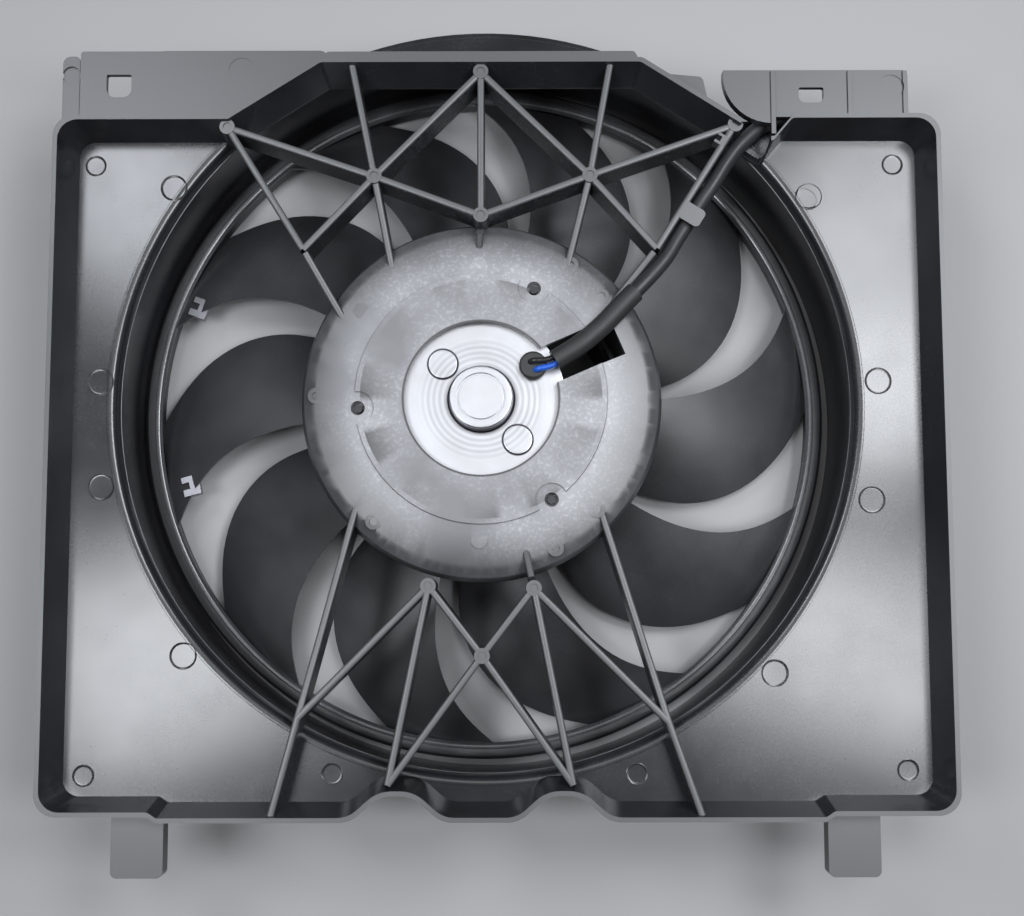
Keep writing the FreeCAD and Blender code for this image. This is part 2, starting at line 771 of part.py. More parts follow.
def motor_ring():
    outer = ring_profile()
    inner = [
        ("ring_radius - ring_wall", "ring_skirt"),
        ("ring_radius - ring_wall", "ring_top - ring_edge_drop"),
        ("ring_shoulder - 1.2", "ring_top - ring_shoulder_drop - ring_wall"),
        ("ring_plateau - 1.0", "ring_top - ring_step - ring_wall"),
        ("ring_bore + ring_wall", "ring_top - ring_step - ring_wall"),
        ("ring_bore + ring_wall", "plate_seat + end_plate_thickness"),
        ("ring_bore", "plate_seat + end_plate_thickness"),
    ]
    dome = turned_body("motor_ring_dome", outer + inner)
    window = doc.addObject("Part::Box", "cable_window")
    window.setExpression("Width", "Sizes.window_width")
    window.Height = 40.0
    turn = FreeCAD.Rotation(FreeCAD.Vector(0, 0, 1), value("window_angle"))
    corner = turn.multVec(FreeCAD.Vector(
        value("window_start") - 6.0,
        value("window_offset") - value("window_width") / 2.0, 0))
    window.Placement = FreeCAD.Placement(
        corner + FreeCAD.Vector(0, 0, value("plate_seat") - 10.0), turn)
    window.setExpression("Length", "Sizes.window_end - Sizes.window_start + 6")
    opened = cut("motor_ring_opened", dome, window)
    bosses = []
    holes = []
    lobes = []
    bosses += pads_on_ring("ring_pad")
    for index in range(3):
        centre = polar(value("screw_circle"), value("first_screw_angle") + 120.0 * index)
        boss_foot = "ear_level + ear_thickness"
        bosses.append(cylinder("ring_boss_%d" % index, "screw_boss",
                               "ring_top - ring_step - 1 - ear_level - ear_thickness",
                               boss_foot, centre))
        lobes.append(cylinder("ring_lobe_%d" % index, "screw_boss + 2.6",
                              "ring_step + 4", "ring_top - ring_step", centre))
        holes.append(cylinder("ring_hole_%d" % index, "screw_radius + 2.1",
                              "20", "ring_top - ring_step - 8", centre))
        holes.append(cylinder("ring_core_%d" % index, "screw_radius",
                              "20", "ear_level", centre))
    doc.recompute()
    lowered = cut("motor_ring_lowered", opened, fuse("ring_lobes", lobes))
    bossed = fuse("motor_ring_bossed", [lowered] + bosses)
    finished = cut("motor_ring_finished", bossed, fuse("ring_holes", holes))
    doc.recompute()
    return finished


def ring_envelope():
    outline = [("0", "ring_top")] + ring_profile() + [("0", "ring_skirt")]
    return fuse("ring_envelope", [turned_body("ring_space", outline)] + pads_on_ring("pad"))


def fan():
    # Hub cup, sickle blades and outer ring, moulded in one.
    body = doc.addObject("PartDesign::Body", "fan_moulding")
    hub_outline = bound_sketch(body, "XZ_Plane", [
        ("shaft_radius + running_gap", "hub_bottom"),
        ("hub_radius - hub_round", "hub_bottom"), ("hub_radius", "hub_bottom + hub_round"),
        ("hub_radius", "hub_top"), ("hub_radius - hub_wall", "hub_top"),
        ("hub_radius - hub_wall", "hub_bottom + hub_floor + hub_round"),
        ("hub_radius - hub_wall - hub_round", "hub_bottom + hub_floor"),
        ("hub_boss", "hub_bottom + hub_floor"), ("hub_boss", "hub_boss_top"),
        ("shaft_radius + running_gap", "hub_boss_top"),
    ], "hub_outline")
    hub = body.newObject("PartDesign::Revolution", "hub")
    hub.Profile = hub_outline
    hub.ReferenceAxis = (hub_outline, ["V_Axis"])
    hub.Angle = 360.0
    doc.recompute()
    sections = []
    root = value("hub_radius") - value("hub_wall") * 0.5
    tip = value("fan_ring_inner") + value("fan_ring_wall") * 0.5
    stations = 6
    for index in range(stations):
        share = index / (stations - 1.0)
        sections.append(blade_section(body, root + (tip - root) * share, share, index))
    blade = body.newObject("PartDesign::AdditiveLoft", "blade")
    blade.Profile = sections[0]
    blade.Sections = sections[1:]
    doc.recompute()
    circle = body.newObject("PartDesign::PolarPattern", "blades")
    circle.Originals = [blade]
    circle.Axis = (hub_outline, ["V_Axis"])
    circle.Angle = 360.0
    circle.setExpression("Occurrences", "Sizes.blade_count")
    body.Tip = circle
    doc.recompute()
    ring_outline = bound_sketch(body, "XZ_Plane", [
        ("fan_ring_inner", "fan_ring_bottom"),
        ("fan_ring_inner + fan_ring_wall", "fan_ring_bottom"),
        ("fan_ring_inner + fan_ring_wall + 0.6", "fan_ring_top - 6"),
        ("fan_lip - 0.6", "fan_ring_top - 5"), ("fan_lip", "fan_ring_top - 2.6"),
        ("fan_lip - 2.2", "fan_ring_top - 0.5"), ("fan_lip - 4.9", "fan_ring_top"),
        ("fan_lip - 7.6", "fan_ring_top - 0.6"), ("fan_ring_inner", "fan_ring_top - 3.4"),
    ], "fan_ring_outline")
    ring = body.newObject("PartDesign::Revolution", "fan_ring")
    ring.Profile = ring_outline
    ring.ReferenceAxis = (ring_outline, ["V_Axis"])
    ring.Angle = 360.0
    doc.recompute()
    rib = bound_sketch(body, "XZ_Plane", [
        ("hub_boss - 1", "hub_bottom + 1"), ("hub_radius - hub_round - 1.6", "hub_bottom + 1"),
        ("hub_radius - 1.5", "hub_bottom + hub_round + 1.1"),
        ("hub_radius - 1.5", "hub_rib_top - 2"), ("hub_boss - 1", "hub_rib_top"),
    ], "hub_rib_outline")
    hub_rib = body.newObject("PartDesign::Pad", "hub_rib")
    hub_rib.Profile = rib
    hub_rib.setExpression("Length", "Sizes.hub_rib")
    hub_rib.Midplane = True
    doc.recompute()
    ribs = body.newObject("PartDesign::PolarPattern", "hub_ribs")
    ribs.Originals = [hub_rib]
    ribs.Axis = (hub_outline, ["V_Axis"])
    ribs.Angle = 360.0
    ribs.setExpression("Occurrences", "Sizes.blade_count")
    body.Tip = ribs
    doc.recompute()
    return body


def blade_section(body, radius, share, index):
    # A cambered strip across the blade at one radius, on a plane square to the radius.
    lead = value("blade_root_lead") + value("blade_sweep") * share ** 2.6
    trail = value("blade_root_trail") + value("blade_trail_sweep") * share ** 2.5
    middle = (lead + trail) / 2.0
    reach = radius * math.sin(math.radians((lead - trail) / 2.0))
    lead_level = value("blade_lead_root") + share * (
        value("blade_lead_tip") - value("blade_lead_root"))
    trail_level = value("blade_trail_root") + share * (
        value("blade_trail_tip") - value("blade_trail_root"))
    camber = value("blade_camber") * (1.0 - 0.5 * share)
    half = value("blade_thickness") / 2.0
    centre_level = (lead_level + trail_level) / 2.0 + camber

    def strip(offset):
        return [FreeCAD.Vector(-reach, trail_level + offset, 0),
                FreeCAD.Vector(0, centre_level + offset, 0),
                FreeCAD.Vector(reach, lead_level + offset, 0)]

    upper = strip(half)
    lower = strip(-half)
    sketch = body.newObject("Sketcher::SketchObject", "blade_section_%d" % index)
    sketch.AttachmentSupport = [(origin_plane(body, "YZ_Plane"), "")]
    sketch.MapMode = "FlatFace"
    turn = FreeCAD.Placement(FreeCAD.Vector(), FreeCAD.Rotation(FreeCAD.Vector(0, 1, 0), middle))
    out = radius * math.cos(math.radians((lead - trail) / 2.0))
    depth = FreeCAD.Placement(FreeCAD.Vector(0, 0, out), FreeCAD.Rotation())
    sketch.AttachmentOffset = turn.multiply(depth)
    sketch.addGeometry(Part.ArcOfCircle(upper[0], upper[1], upper[2]), False)
    sketch.addGeometry(Part.LineSegment(upper[2], lower[2]), False)
    sketch.addGeometry(Part.ArcOfCircle(lower[0], lower[1], lower[2]), False)
    sketch.addGeometry(Part.LineSegment(lower[0], upper[0]), False)
    return sketch


def tube_along(points, radius, wall=0.0):
    # A round tube along straight runs joined by tangent arcs.
    vectors = [FreeCAD.Vector(x, y, value(z)) for x, y, z in points]
    edges = []
    start = vectors[0]
    for before, here, after in zip(vectors, vectors[1:], vectors[2:]):
        back = (before - here)
        ahead = (after - here)
        shorter = min(back.Length, ahead.Length)
        back = back.normalize()
        ahead = ahead.normalize()
        half = back.getAngle(ahead) / 2.0
        reach = 0.45 * shorter
        bend = reach * math.tan(half)
        middle = here + (back + ahead).normalize() * (bend / math.sin(half) - bend)
        edges.append(Part.LineSegment(start, here + back * reach).toShape())
        edges.append(Part.Arc(here + back * reach, middle, here + ahead * reach).toShape())
        start = here + ahead * reach
    edges.append(Part.LineSegment(start, vectors[-1]).toShape())
    path = Part.Wire(edges)
    heading = vectors[1] - vectors[0]
    circle = Part.Wire([Part.makeCircle(radius, vectors[0], heading)])
    tube = path.makePipeShell([circle], True, True)
    if wall > 0.0:
        hole = Part.Wire([Part.makeCircle(radius - wall, vectors[0], heading)])
        tube = tube.cut(path.makePipeShell([hole], True, True))
    return tube


def derive_sizes():
    # Where the fan axis lies in the part's frame, so that the origin is under the middle.
    left = value("rim_left")
    right = value("rim_right")
    top = value("barrel_foot") + value("barrel_wall") + value("foot_bead")
    bottom = value("rim_bottom") - 1.2 + value("foot_length")
    sizes["axis_x"] = (left - right) / 2.0
    sizes["axis_y"] = (bottom - top) / 2.0
    sizes["ring_shoulder"] = value("ring_radius - ring_edge")


def motor_parts():
    seat = "plate_seat"
    can = turned_body("motor_can_turned", [
        ("bearing_radius", "can_bottom"), ("can_radius - 4", "can_bottom"),
        ("can_radius", "can_bottom + 4"), ("can_radius", seat),
        ("can_radius - can_wall", seat), ("can_radius - can_wall", "can_bottom + 5"),
        ("can_radius - can_wall - 4", "can_bottom + can_wall"),
        ("nose_radius", "can_bottom + can_wall"),
        ("nose_radius", "can_bottom + front_bearing_length + nose_height"),
        ("bearing_radius", "can_bottom + front_bearing_length + nose_height"),
    ])
    ears = []
    for index in range(3):
        angle = value("first_screw_angle") + 120.0 * index
        ear = doc.addObject("Part::Box", "ear_%d" % index)
        ear.setExpression("Length", "Sizes.screw_circle - Sizes.can_radius + 1")
        ear.setExpression("Width", "Sizes.ear_width")
        ear.setExpression("Height", "Sizes.ear_thickness")
        turn = FreeCAD.Rotation(FreeCAD.Vector(0, 0, 1), angle)
        corner = turn.multVec(FreeCAD.Vector(value("can_radius") - 1.0,
                                             -value("ear_width") / 2.0, value("ear_level")))
        ear.Placement = FreeCAD.Placement(corner, turn)
        ears.append(ear)
        ears.append(cylinder("ear_end_%d" % index, "screw_boss + 1", "ear_thickness",
                             "ear_level", polar(value("screw_circle"), angle)))
    holes = []
    for index in range(3):
        angle = value("first_screw_angle") + 120.0 * index
        holes.append(cylinder("ear_hole_%d" % index, "screw_radius", "20",
                              "ear_level - 8", polar(value("screw_circle"), angle)))
    doc.recompute()
    motor_can = cut("motor_can_eared", fuse("motor_can_whole", [can] + ears),
                    fuse("ear_holes", holes))
    top = "plate_seat + end_plate_thickness"
    plate = turned_body("end_plate_turned", [
        ("0", top + " + boss_height"), ("boss_top", top + " + boss_height"),
        ("boss_base - 1.5", top + " + 1.5"), ("boss_base", top), ("can_radius - 0.6", top),
        ("can_radius", top + " - 0.6"), ("can_radius", seat),
        ("bearing_radius + 6", seat), ("bearing_radius + 4", top + " + 2"),
        ("bearing_radius", top + " + 2"), ("bearing_radius", top + " + boss_height - 2"),
        ("0", top + " + boss_height - 2"),
    ])
    buttons = []
    for index in range(2):
        centre = polar(value("button_circle"), value("button_angle") + 180.0 * index)
        buttons.append(cylinder("plate_button_%d" % index, "button_radius",
                                "button_height + 0.5", top + " - 0.5", centre))
    grommet_centre = polar(value("grommet_circle"), value("grommet_angle"))
    hole = cylinder("grommet_hole", "grommet_neck", "20", seat + " - 10", grommet_centre)
    doc.recompute()
    end_plate = cut("end_plate_pierced", fuse("end_plate_whole", [plate] + buttons), hole)
    front = turned_body("front_bearing_turned", [
        ("shaft_radius + running_gap", "can_bottom + 0.5"),
        ("bearing_radius", "can_bottom + 0.5"),
        ("bearing_radius", "can_bottom + 0.5 + front_bearing_length"),
        ("shaft_radius + running_gap", "can_bottom + 0.5 + front_bearing_length"),
    ])
    rear = turned_body("rear_bearing_turned", [
        ("shaft_radius + running_gap", top + " + boss_height - 2.5 - rear_bearing_length"),
        ("bearing_radius", top + " + boss_height - 2.5 - rear_bearing_length"),
        ("bearing_radius", top + " + boss_height - 2.5"),
        ("shaft_radius + running_gap", top + " + boss_height - 2.5"),
    ])
    retainer = turned_body("bearing_retainer_turned", [
        ("bearing_radius - 1", top + " + boss_height - 3 - rear_bearing_length"),
        ("bearing_radius + 3.4", top + " + boss_height - 3 - rear_bearing_length"),
        ("bearing_radius + 3.4", top + " + boss_height - 2.5 - rear_bearing_length"),
        ("bearing_radius - 1", top + " + boss_height - 2.5 - rear_bearing_length"),
    ])
    magnets = []
    outer = value("can_radius") - value("can_wall")
    for index in range(4):
        ring = Part.makeCylinder(outer, value("magnet_height"),
                                 FreeCAD.Vector(0, 0, value("magnet_bottom")),
                                 FreeCAD.Vector(0, 0, 1), value("magnet_arc"))
        ring = ring.cut(disc(value("magnet_inner"), value("magnet_bottom") - 1.0,
                              value("magnet_height") + 2.0))
        ring.rotate(FreeCAD.Vector(0, 0, 0), FreeCAD.Vector(0, 0, 1),
                    90.0 * index - value("magnet_arc") / 2.0 + 19.5)
        magnets.append(ring)
    magnet_set = feature("magnet_set", Part.makeCompound(magnets))
    return motor_can, end_plate, front, rear, retainer, magnet_set


def armature_parts():
    level = "magnet_bottom + 2"
    core_disc = cylinder("core_disc", "core_radius", "core_height", level)
    bore = cylinder("core_bore", "shaft_radius", "core_height + 4", level + " - 2")
    slots = []
    for index in range(int(value("core_slots"))):
        angle = 360.0 * index / value("core_slots")
        slot = doc.addObject("Part::Box", "core_slot_%d" % index)
        slot.setExpression("Length", "Sizes.core_radius - Sizes.core_web + 2")
        slot.setExpression("Width", "Sizes.core_slot_width")
        slot.setExpression("Height", "Sizes.core_height + 4")
        turn = FreeCAD.Rotation(FreeCAD.Vector(0, 0, 1), angle)
        corner = turn.multVec(FreeCAD.Vector(value("core_web"),
                                             -value("core_slot_width") / 2.0,
                                             value(level) - 2.0))
        slot.Placement = FreeCAD.Placement(corner, turn)
        slots.append(slot)
    doc.recompute()
    core = cut("core_slotted", core_disc, fuse("core_cutters", [bore] + slots))
    bottom = value(level)
    height = value("core_height")
    rise = value("coil_rise")
    coils = []
    for low in (bottom - rise, bottom + height):
        ring = disc(value("coil_outer"), low, rise).cut(
            disc(value("coil_inner"), low - 1.0, rise + 2.0))
        coils.append(ring)
    windings = feature("winding_ends", Part.makeCompound(coils))
    above = level + " + core_height"
    commutator = turned_body("commutator_turned", [
        ("shaft_radius", above), ("coil_inner - 0.5", above),
        ("coil_inner - 0.5", above + " + coil_rise + 0.5"),
        ("commutator_radius", above + " + coil_rise + 0.5"),
        ("commutator_radius", above + " + coil_rise + 0.5 + commutator_height"),
        ("shaft_radius", above + " + coil_rise + 0.5 + commutator_height"),
    ])
    return core, windings, commutator


def commutator_middle():
    start = value("magnet_bottom + 2 + core_height + coil_rise + 0.5")
    return start + value("commutator_height") / 2.0


def brush_parts():
    # Two carbon brushes face the commutator in brass tubes riveted to the brush card.
    middle = commutator_middle()
    wide = value("brush_width")
    tall = value("brush_height")
    start = value("commutator_radius") + value("brush_gap")
    wall = value("brush_tube_wall")
    slack = value("running_gap")
    tube_start = start + 2.0
    tube_length = value("brush_tube_length")
    brushes = []
    tubes = []
    springs = []
    for turn in (0.0, 180.0):
        brush = Part.makeBox(value("brush_length"), wide, tall,
                             FreeCAD.Vector(start, -wide / 2.0, middle - tall / 2.0))
        tube = Part.makeBox(tube_length, wide + 2.0 * wall, tall + 2.0 * wall,
                            FreeCAD.Vector(tube_start, -wide / 2.0 - wall,
                                           middle - tall / 2.0 - wall))
        hollow = Part.makeBox(tube_length - wall, wide + 2.0 * slack, tall + 2.0 * slack,
                              FreeCAD.Vector(tube_start, -wide / 2.0 - slack,
                                             middle - tall / 2.0 - slack))
        tube = tube.cut(hollow)
        spring_start = start + value("brush_length")
        spring_end = tube_start + tube_length - wall
        spring = Part.makeCylinder(tall / 2.0 - 0.9, spring_end - spring_start,
                                   FreeCAD.Vector(spring_start, 0, middle),
                                   FreeCAD.Vector(1, 0, 0))
        core = Part.makeCylinder(tall / 2.0 - 1.7, spring_end - spring_start,
                                 FreeCAD.Vector(spring_start, 0, middle),
                                 FreeCAD.Vector(1, 0, 0))
        spring = spring.cut(core)
        for shape in (brush, tube, spring):
            shape.rotate(FreeCAD.Vector(0, 0, 0), FreeCAD.Vector(0, 0, 1), turn)
        brushes.append(brush)
        tubes.append(tube)
        springs.append(spring)
    card_level = middle + tall / 2.0 + wall
    card = disc(value("can_radius") - value("can_wall"), card_level, value("card_thickness"))
    card = card.cut(disc(value("card_bore"), card_level - 1.0, 10.0))
    grommet_centre = polar(value("grommet_circle"), value("grommet_angle"))
    card = card.cut(disc(value("grommet_neck"), card_level - 1.0, 10.0, grommet_centre))
    chokes = []
    for turn in (55.0, 235.0):
        chokes.append(disc(value("choke_radius"), card_level - value("choke_length"),
                           value("choke_length"), polar(value("choke_circle"), turn)))
    return (feature("brush_pair", Part.makeCompound(brushes)),
            feature("brush_tubes", Part.makeCompound(tubes)),
            feature("brush_spring_pair", Part.makeCompound(springs)),
            feature("brush_card_plate", card), feature("choke_pair", Part.makeCompound(chokes)))


def shaft_parts():
    shaft_foot = "hub_bottom - nut_height - 1.8"
    top = "plate_seat + end_plate_thickness + boss_height - 2.6"
    shaft = cylinder("shaft_rod", "shaft_radius", top + " - hub_bottom + nut_height + 1.8",
                     shaft_foot)
    pin_level = value("hub_boss_top - drive_pin_radius - 1.5")
    pin = feature("drive_pin_rod", Part.makeCylinder(
        value("drive_pin_radius"), 2.0 * value("shaft_radius") + 10.0,
        FreeCAD.Vector(-value("shaft_radius") - 5.0, 0, pin_level), FreeCAD.Vector(1, 0, 0)))
    doc.recompute()
    shaft_drilled = cut("shaft_drilled", shaft, pin)
    washer_level = "hub_bottom - washer_thickness"
    washer = cut("washer_ring", cylinder("washer_disc", "washer_radius", "washer_thickness",
                                         washer_level),
                 cylinder("washer_bore", "shaft_radius", "10", washer_level + " - 2"))
    prism = doc.addObject("Part::Prism", "nut_hexagon")
    prism.Polygon = 6
    prism.Circumradius = value("nut_across_flats") / math.sqrt(3.0)
    prism.setExpression("Height", "Sizes.nut_height")
    nut_level = "hub_bottom - washer_thickness - nut_height"
    prism.Placement.Base.z = value(nut_level)
    nut = cut("nut_body", prism, cylinder("nut_bore", "shaft_radius", "10",
                                          nut_level + " - 2"))
    return shaft_drilled, pin, washer, nut


def motor_screws():
    screws = []
    for index in range(3):
        x, y = polar(value("screw_circle"), value("first_screw_angle") + 120.0 * index)
        low = value("ear_level")
        head = disc(value("screw_head"), low - value("screw_head_height"),
                    value("screw_head_height"), (x, y))
        socket = disc(value("screw_head") * 0.5, low - value("screw_head_height") - 1.0,
                      value("screw_head_height") * 0.6 + 1.0, (x, y))
        length = value("ring_top - ring_step - 3") - low
        screws.append(head.cut(socket).fuse(disc(value("screw_radius"), low, length, (x, y))))
    return feature("screw_set", Part.makeCompound(screws))


def lead_parts():
    seat = value("plate_seat") + value("end_plate_thickness")
    centre = polar(value("grommet_circle"), value("grommet_angle"))
    heading = math.degrees(math.atan2(sleeve_route[1][1] - sleeve_route[0][1],
                                      sleeve_route[1][0] - sleeve_route[0][0]))
    across = (-math.sin(math.radians(heading)), math.cos(math.radians(heading)))
    wires = []
    start, second, last, beyond = [
        FreeCAD.Vector(x, y, value(z))
        for x, y, z in (sleeve_route[:2] + sleeve_route[boot_points - 1:boot_points + 1])]
    along = (second - start).normalize()
    top = seat + value("grommet_height")
    for side in (-1.0, 1.0):
        offset = side * (value("wire_radius") + 0.3)
        foot = (centre[0] + across[0] * offset * 1.4 - 1.5,
                centre[1] + across[1] * offset * 1.4 - 1.0)
        ahead = start - FreeCAD.Vector(centre[0], centre[1], start.z)
        ahead.normalize()
        entry = start + FreeCAD.Vector(across[0], across[1], 0) * offset
        inside = entry + along * 8.0
        before = entry - along * 3.0
        wires.append([
            (foot[0], foot[1], seat - 4.0), (foot[0], foot[1], seat + 2.5),
            (foot[0] + ahead.x * 3.0, foot[1] + ahead.y * 3.0, top + 2.0),
            (before.x, before.y, before.z), (inside.x, inside.y, inside.z),
        ])
    grommet = disc(value("grommet_radius"), seat, value("grommet_height"), centre)
    grommet = grommet.fuse(disc(value("grommet_neck"), seat - value("end_plate_thickness"),
                                value("end_plate_thickness"), centre))
    edges = [edge for edge in grommet.Edges
             if edge.BoundBox.ZMin > seat + value("grommet_height") - 0.1]
    grommet = grommet.makeFillet(2.0, edges)
    wire_shapes = []
    for points in wires:
        tube = tube_along(points, value("wire_radius"))
        wire_shapes.append(tube)
        grommet = grommet.cut(tube_along(points, value("wire_radius")))
    sleeve = tube_along(sleeve_route, value("sleeve_radius"), value("sleeve_wall"))
    boot_end = last + (beyond - last) * 0.5
    boot = tube_along(sleeve_route[:boot_points] + [tuple(boot_end)], value("boot_radius"))
    boot = boot.cut(tube_along(sleeve_route, value("sleeve_radius")))
    return wire_shapes, grommet, sleeve, boot


def connector_parts():
    # A two-way connector hangs under the right-hand tab by its sliding clip.
    long = value("connector_length")
    wide = value("connector_width")
    tall = value("connector_height")
    x = value("connector_x")
    y = value("connector_y")
    under_tab = value("overall_height - tab_drop - tab_thickness")
    clip_rise = 5.0
    top = under_tab - clip_rise
    middle = top - tall / 2.0
    body = Part.makeBox(long, wide, tall, FreeCAD.Vector(x - long / 2.0, y - wide / 2.0,
                                                         middle - tall / 2.0))
    body = body.makeFillet(1.5, [edge for edge in body.Edges if edge.Length > long - 0.1])
    mouth = Part.makeBox(long * 0.55, wide - 4.0, tall - 4.0,
                         FreeCAD.Vector(x - long / 2.0 + long * 0.5, y - wide / 2.0 + 2.0,
                                        middle - tall / 2.0 + 2.0))
    body = body.cut(mouth)
    stem = Part.makeBox(long * 0.4, 5.0, clip_rise,
                        FreeCAD.Vector(x - long * 0.2, y - 2.5, top))
    body = body.fuse(stem)
    entry_x = sleeve_route[-1][0]
    pins = []
    for side in (-1.0, 1.0):
        pins.append(Part.makeBox(long * 0.3, 0.8, 2.8,
                                 FreeCAD.Vector(x, y + side * 3.2 - 0.4, middle - 1.4)))
    lap = value("seal_lap")
    start = FreeCAD.Vector(entry_x - lap, y, value(sleeve_route[-1][2]))
    along = FreeCAD.Vector(1, 0, 0)
    seal_length = x - long / 2.0 - entry_x + lap
    seal = Part.makeCylinder(value("sleeve_radius") + value("seal_wall"), seal_length, start, along)
    seal = seal.cut(Part.makeCylinder(value("sleeve_radius"), seal_length + 2.0,
                                      start - along, along))
    return body, Part.makeCompound(pins), seal


def balance_clips(fan_shape):
    # Spring-steel clips pushed on to two blades' raised edges.
    clips = []
    for blade, share in ((4, 0.9), (5, 0.86)):
        root = value("hub_radius")
        tip = value("fan_ring_inner")
        radius = root + (tip - root) * share
        lead = value("blade_root_lead") + value("blade_sweep") * share ** 2.6
        angle = lead + blade * 360.0 / value("blade_count")
        level = value("blade_lead_root") + share * (
            value("blade_lead_tip") - value("blade_lead_root"))
        x, y = polar(radius, angle)
        long, wide, thick = value("clip_length"), value("clip_width"), value("clip_thickness")
        notch = value("clip_notch")
        block = Part.makeBox(long, wide, thick,
                             FreeCAD.Vector(1.6 - long, -wide / 2.0, -thick / 2.0))
        block = block.cut(Part.makeBox(notch, notch, thick * 2.0,
                                       FreeCAD.Vector(1.6 - long * 0.7, -wide / 2.0, -thick)))
        block.rotate(FreeCAD.Vector(0, 0, 0), FreeCAD.Vector(0, 1, 0), -8.0)
        block.rotate(FreeCAD.Vector(0, 0, 0), FreeCAD.Vector(0, 0, 1), angle + 90.0)
        block.translate(FreeCAD.Vector(x, y, level))
        clips.append(block.cut(fan_shape))
    return Part.makeCompound(clips)


def finish(label, source):
    # Give a sub-part its own name and put it in the part's frame.
    shape = source if isinstance(source, Part.Shape) else source.Shape
    if not shape.Placement.isIdentity():
        shape = Part.makeCompound([shape])
    piece = doc.addObject("Part::Feature", label)
    piece.Label = label
    piece.Shape = shape.copy()
    place(piece)
    return piece


def build():
    derive_sizes()
    fill_sheet()
    panel = feature("panel_moulding", shroud_panel())
    barrel = feature("barrel_moulding", fan_barrel().cut(panel.Shape))
    ring = motor_ring()
    envelope = ring_envelope()
    upper = strut_group("upper", upper_bars, upper_landings, upper_bosses,
                        envelope, panel, barrel, lead_tab())
    lower = strut_group("lower", lower_bars, lower_landings, lower_bosses,
                        envelope, panel, barrel, [])
    motor_can, end_plate, front, rear, retainer, magnets = motor_parts()
    core, windings, commutator = armature_parts()
    brushes, tubes, springs, card, chokes = brush_parts()
    shaft, pin, washer, nut = shaft_parts()
    fan_body = fan()
    wires, grommet, sleeve, boot = lead_parts()
    connector, pins, seal = connector_parts()
    doc.recompute()
    made = {
        "shroud_panel": panel, "fan_barrel": barrel, "motor_ring": ring,
        "upper_struts": upper, "lower_struts": lower, "motor_can": motor_can,
        "end_plate": end_plate, "front_bearing": front, "rear_bearing": rear,
        "bearing_retainer": retainer, "magnets": magnets, "armature_core": core,
        "armature_windings": windings, "commutator": commutator,
        "carbon_brushes": brushes, "brush_holders": tubes,
        "brush_springs": springs, "brush_card": card, "choke_coils": chokes,
        "motor_shaft": shaft, "drive_pin": pin, "fan_washer": washer, "fan_nut": nut,
        "fan": fan_body.Shape.cut(pin.Shape), "balance_clips": balance_clips(fan_body.Shape),
        "motor_screws": motor_screws(), "lead_grommet": grommet, "wire_black": wires[1],
        "wire_blue": wires[0], "lead_sleeve": sleeve, "lead_boot": boot,
        "connector_housing": connector,
        "connector_pins": pins, "connector_seal": seal,
    }
    return [finish(label, source) for label, source in made.items()]


def check_and_write(pieces):
    doc.recompute()
    faults = []
    for item in doc.Objects:
        if "Invalid" in item.State or "Error" in item.State:
            faults.append(item.Name)
    for piece in pieces:
        if piece.Shape.isNull() or not piece.Shape.isValid():
            faults.append(piece.Label)
    if faults:
        raise RuntimeError("not sound: " + ", ".join(faults))
    os.makedirs("parts", exist_ok=True)
    for piece in pieces:
        piece.Shape.exportStep("parts/" + piece.Label + ".step")
        box = piece.Shape.BoundBox
        print("%-18s solids %d volume %9.0f  x %7.1f %7.1f  y %7.1f %7.1f  z %6.1f %6.1f" % (
            piece.Label, len(piece.Shape.Solids), piece.Shape.Volume, box.XMin, box.XMax,
            box.YMin, box.YMax, box.ZMin, box.ZMax))


check_and_write(build())
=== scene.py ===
import bpy
import math
from mathutils import Matrix, Vector


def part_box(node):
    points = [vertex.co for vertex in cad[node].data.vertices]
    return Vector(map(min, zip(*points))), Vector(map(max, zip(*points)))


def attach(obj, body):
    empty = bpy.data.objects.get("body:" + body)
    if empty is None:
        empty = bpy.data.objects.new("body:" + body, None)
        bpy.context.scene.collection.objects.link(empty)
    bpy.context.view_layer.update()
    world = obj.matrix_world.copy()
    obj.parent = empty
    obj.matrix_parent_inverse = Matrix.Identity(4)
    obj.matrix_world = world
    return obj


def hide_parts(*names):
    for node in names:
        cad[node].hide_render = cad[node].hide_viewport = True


# Radiator fan lying radiator side up, in metres. Most lengths are given in
# millimetres from the fan's axis and from the plane of the shroud's rim.

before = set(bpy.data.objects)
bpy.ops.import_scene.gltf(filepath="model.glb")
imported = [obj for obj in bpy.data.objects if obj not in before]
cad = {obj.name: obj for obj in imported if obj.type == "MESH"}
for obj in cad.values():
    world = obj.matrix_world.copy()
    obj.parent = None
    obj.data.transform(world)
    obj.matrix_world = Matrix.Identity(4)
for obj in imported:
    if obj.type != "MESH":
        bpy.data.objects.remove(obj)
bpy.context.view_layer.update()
print("frame loaded:", len(cad), "nodes")

mm = 0.001
shaftLow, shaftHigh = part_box("motor_shaft")
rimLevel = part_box("shroud_panel")[1].z
axis = Vector(((shaftLow.x + shaftHigh.x) / 2, (shaftLow.y + shaftHigh.y) / 2, 0))


def spot(x, y, z=0.0):
    return Vector((axis.x + x * mm, axis.y + y * mm, rimLevel + z * mm))


# ---- camera, as the photograph was taken
cameraPlace = {
    "eye": (19.84, -126.52, 621.45),
    "turn": (0.06714, 0.0005, -0.00205),
    "photoWidth": 1024,
    "focalPixels": 1000.0,
    "axisBelowMiddle": 71.0,
}


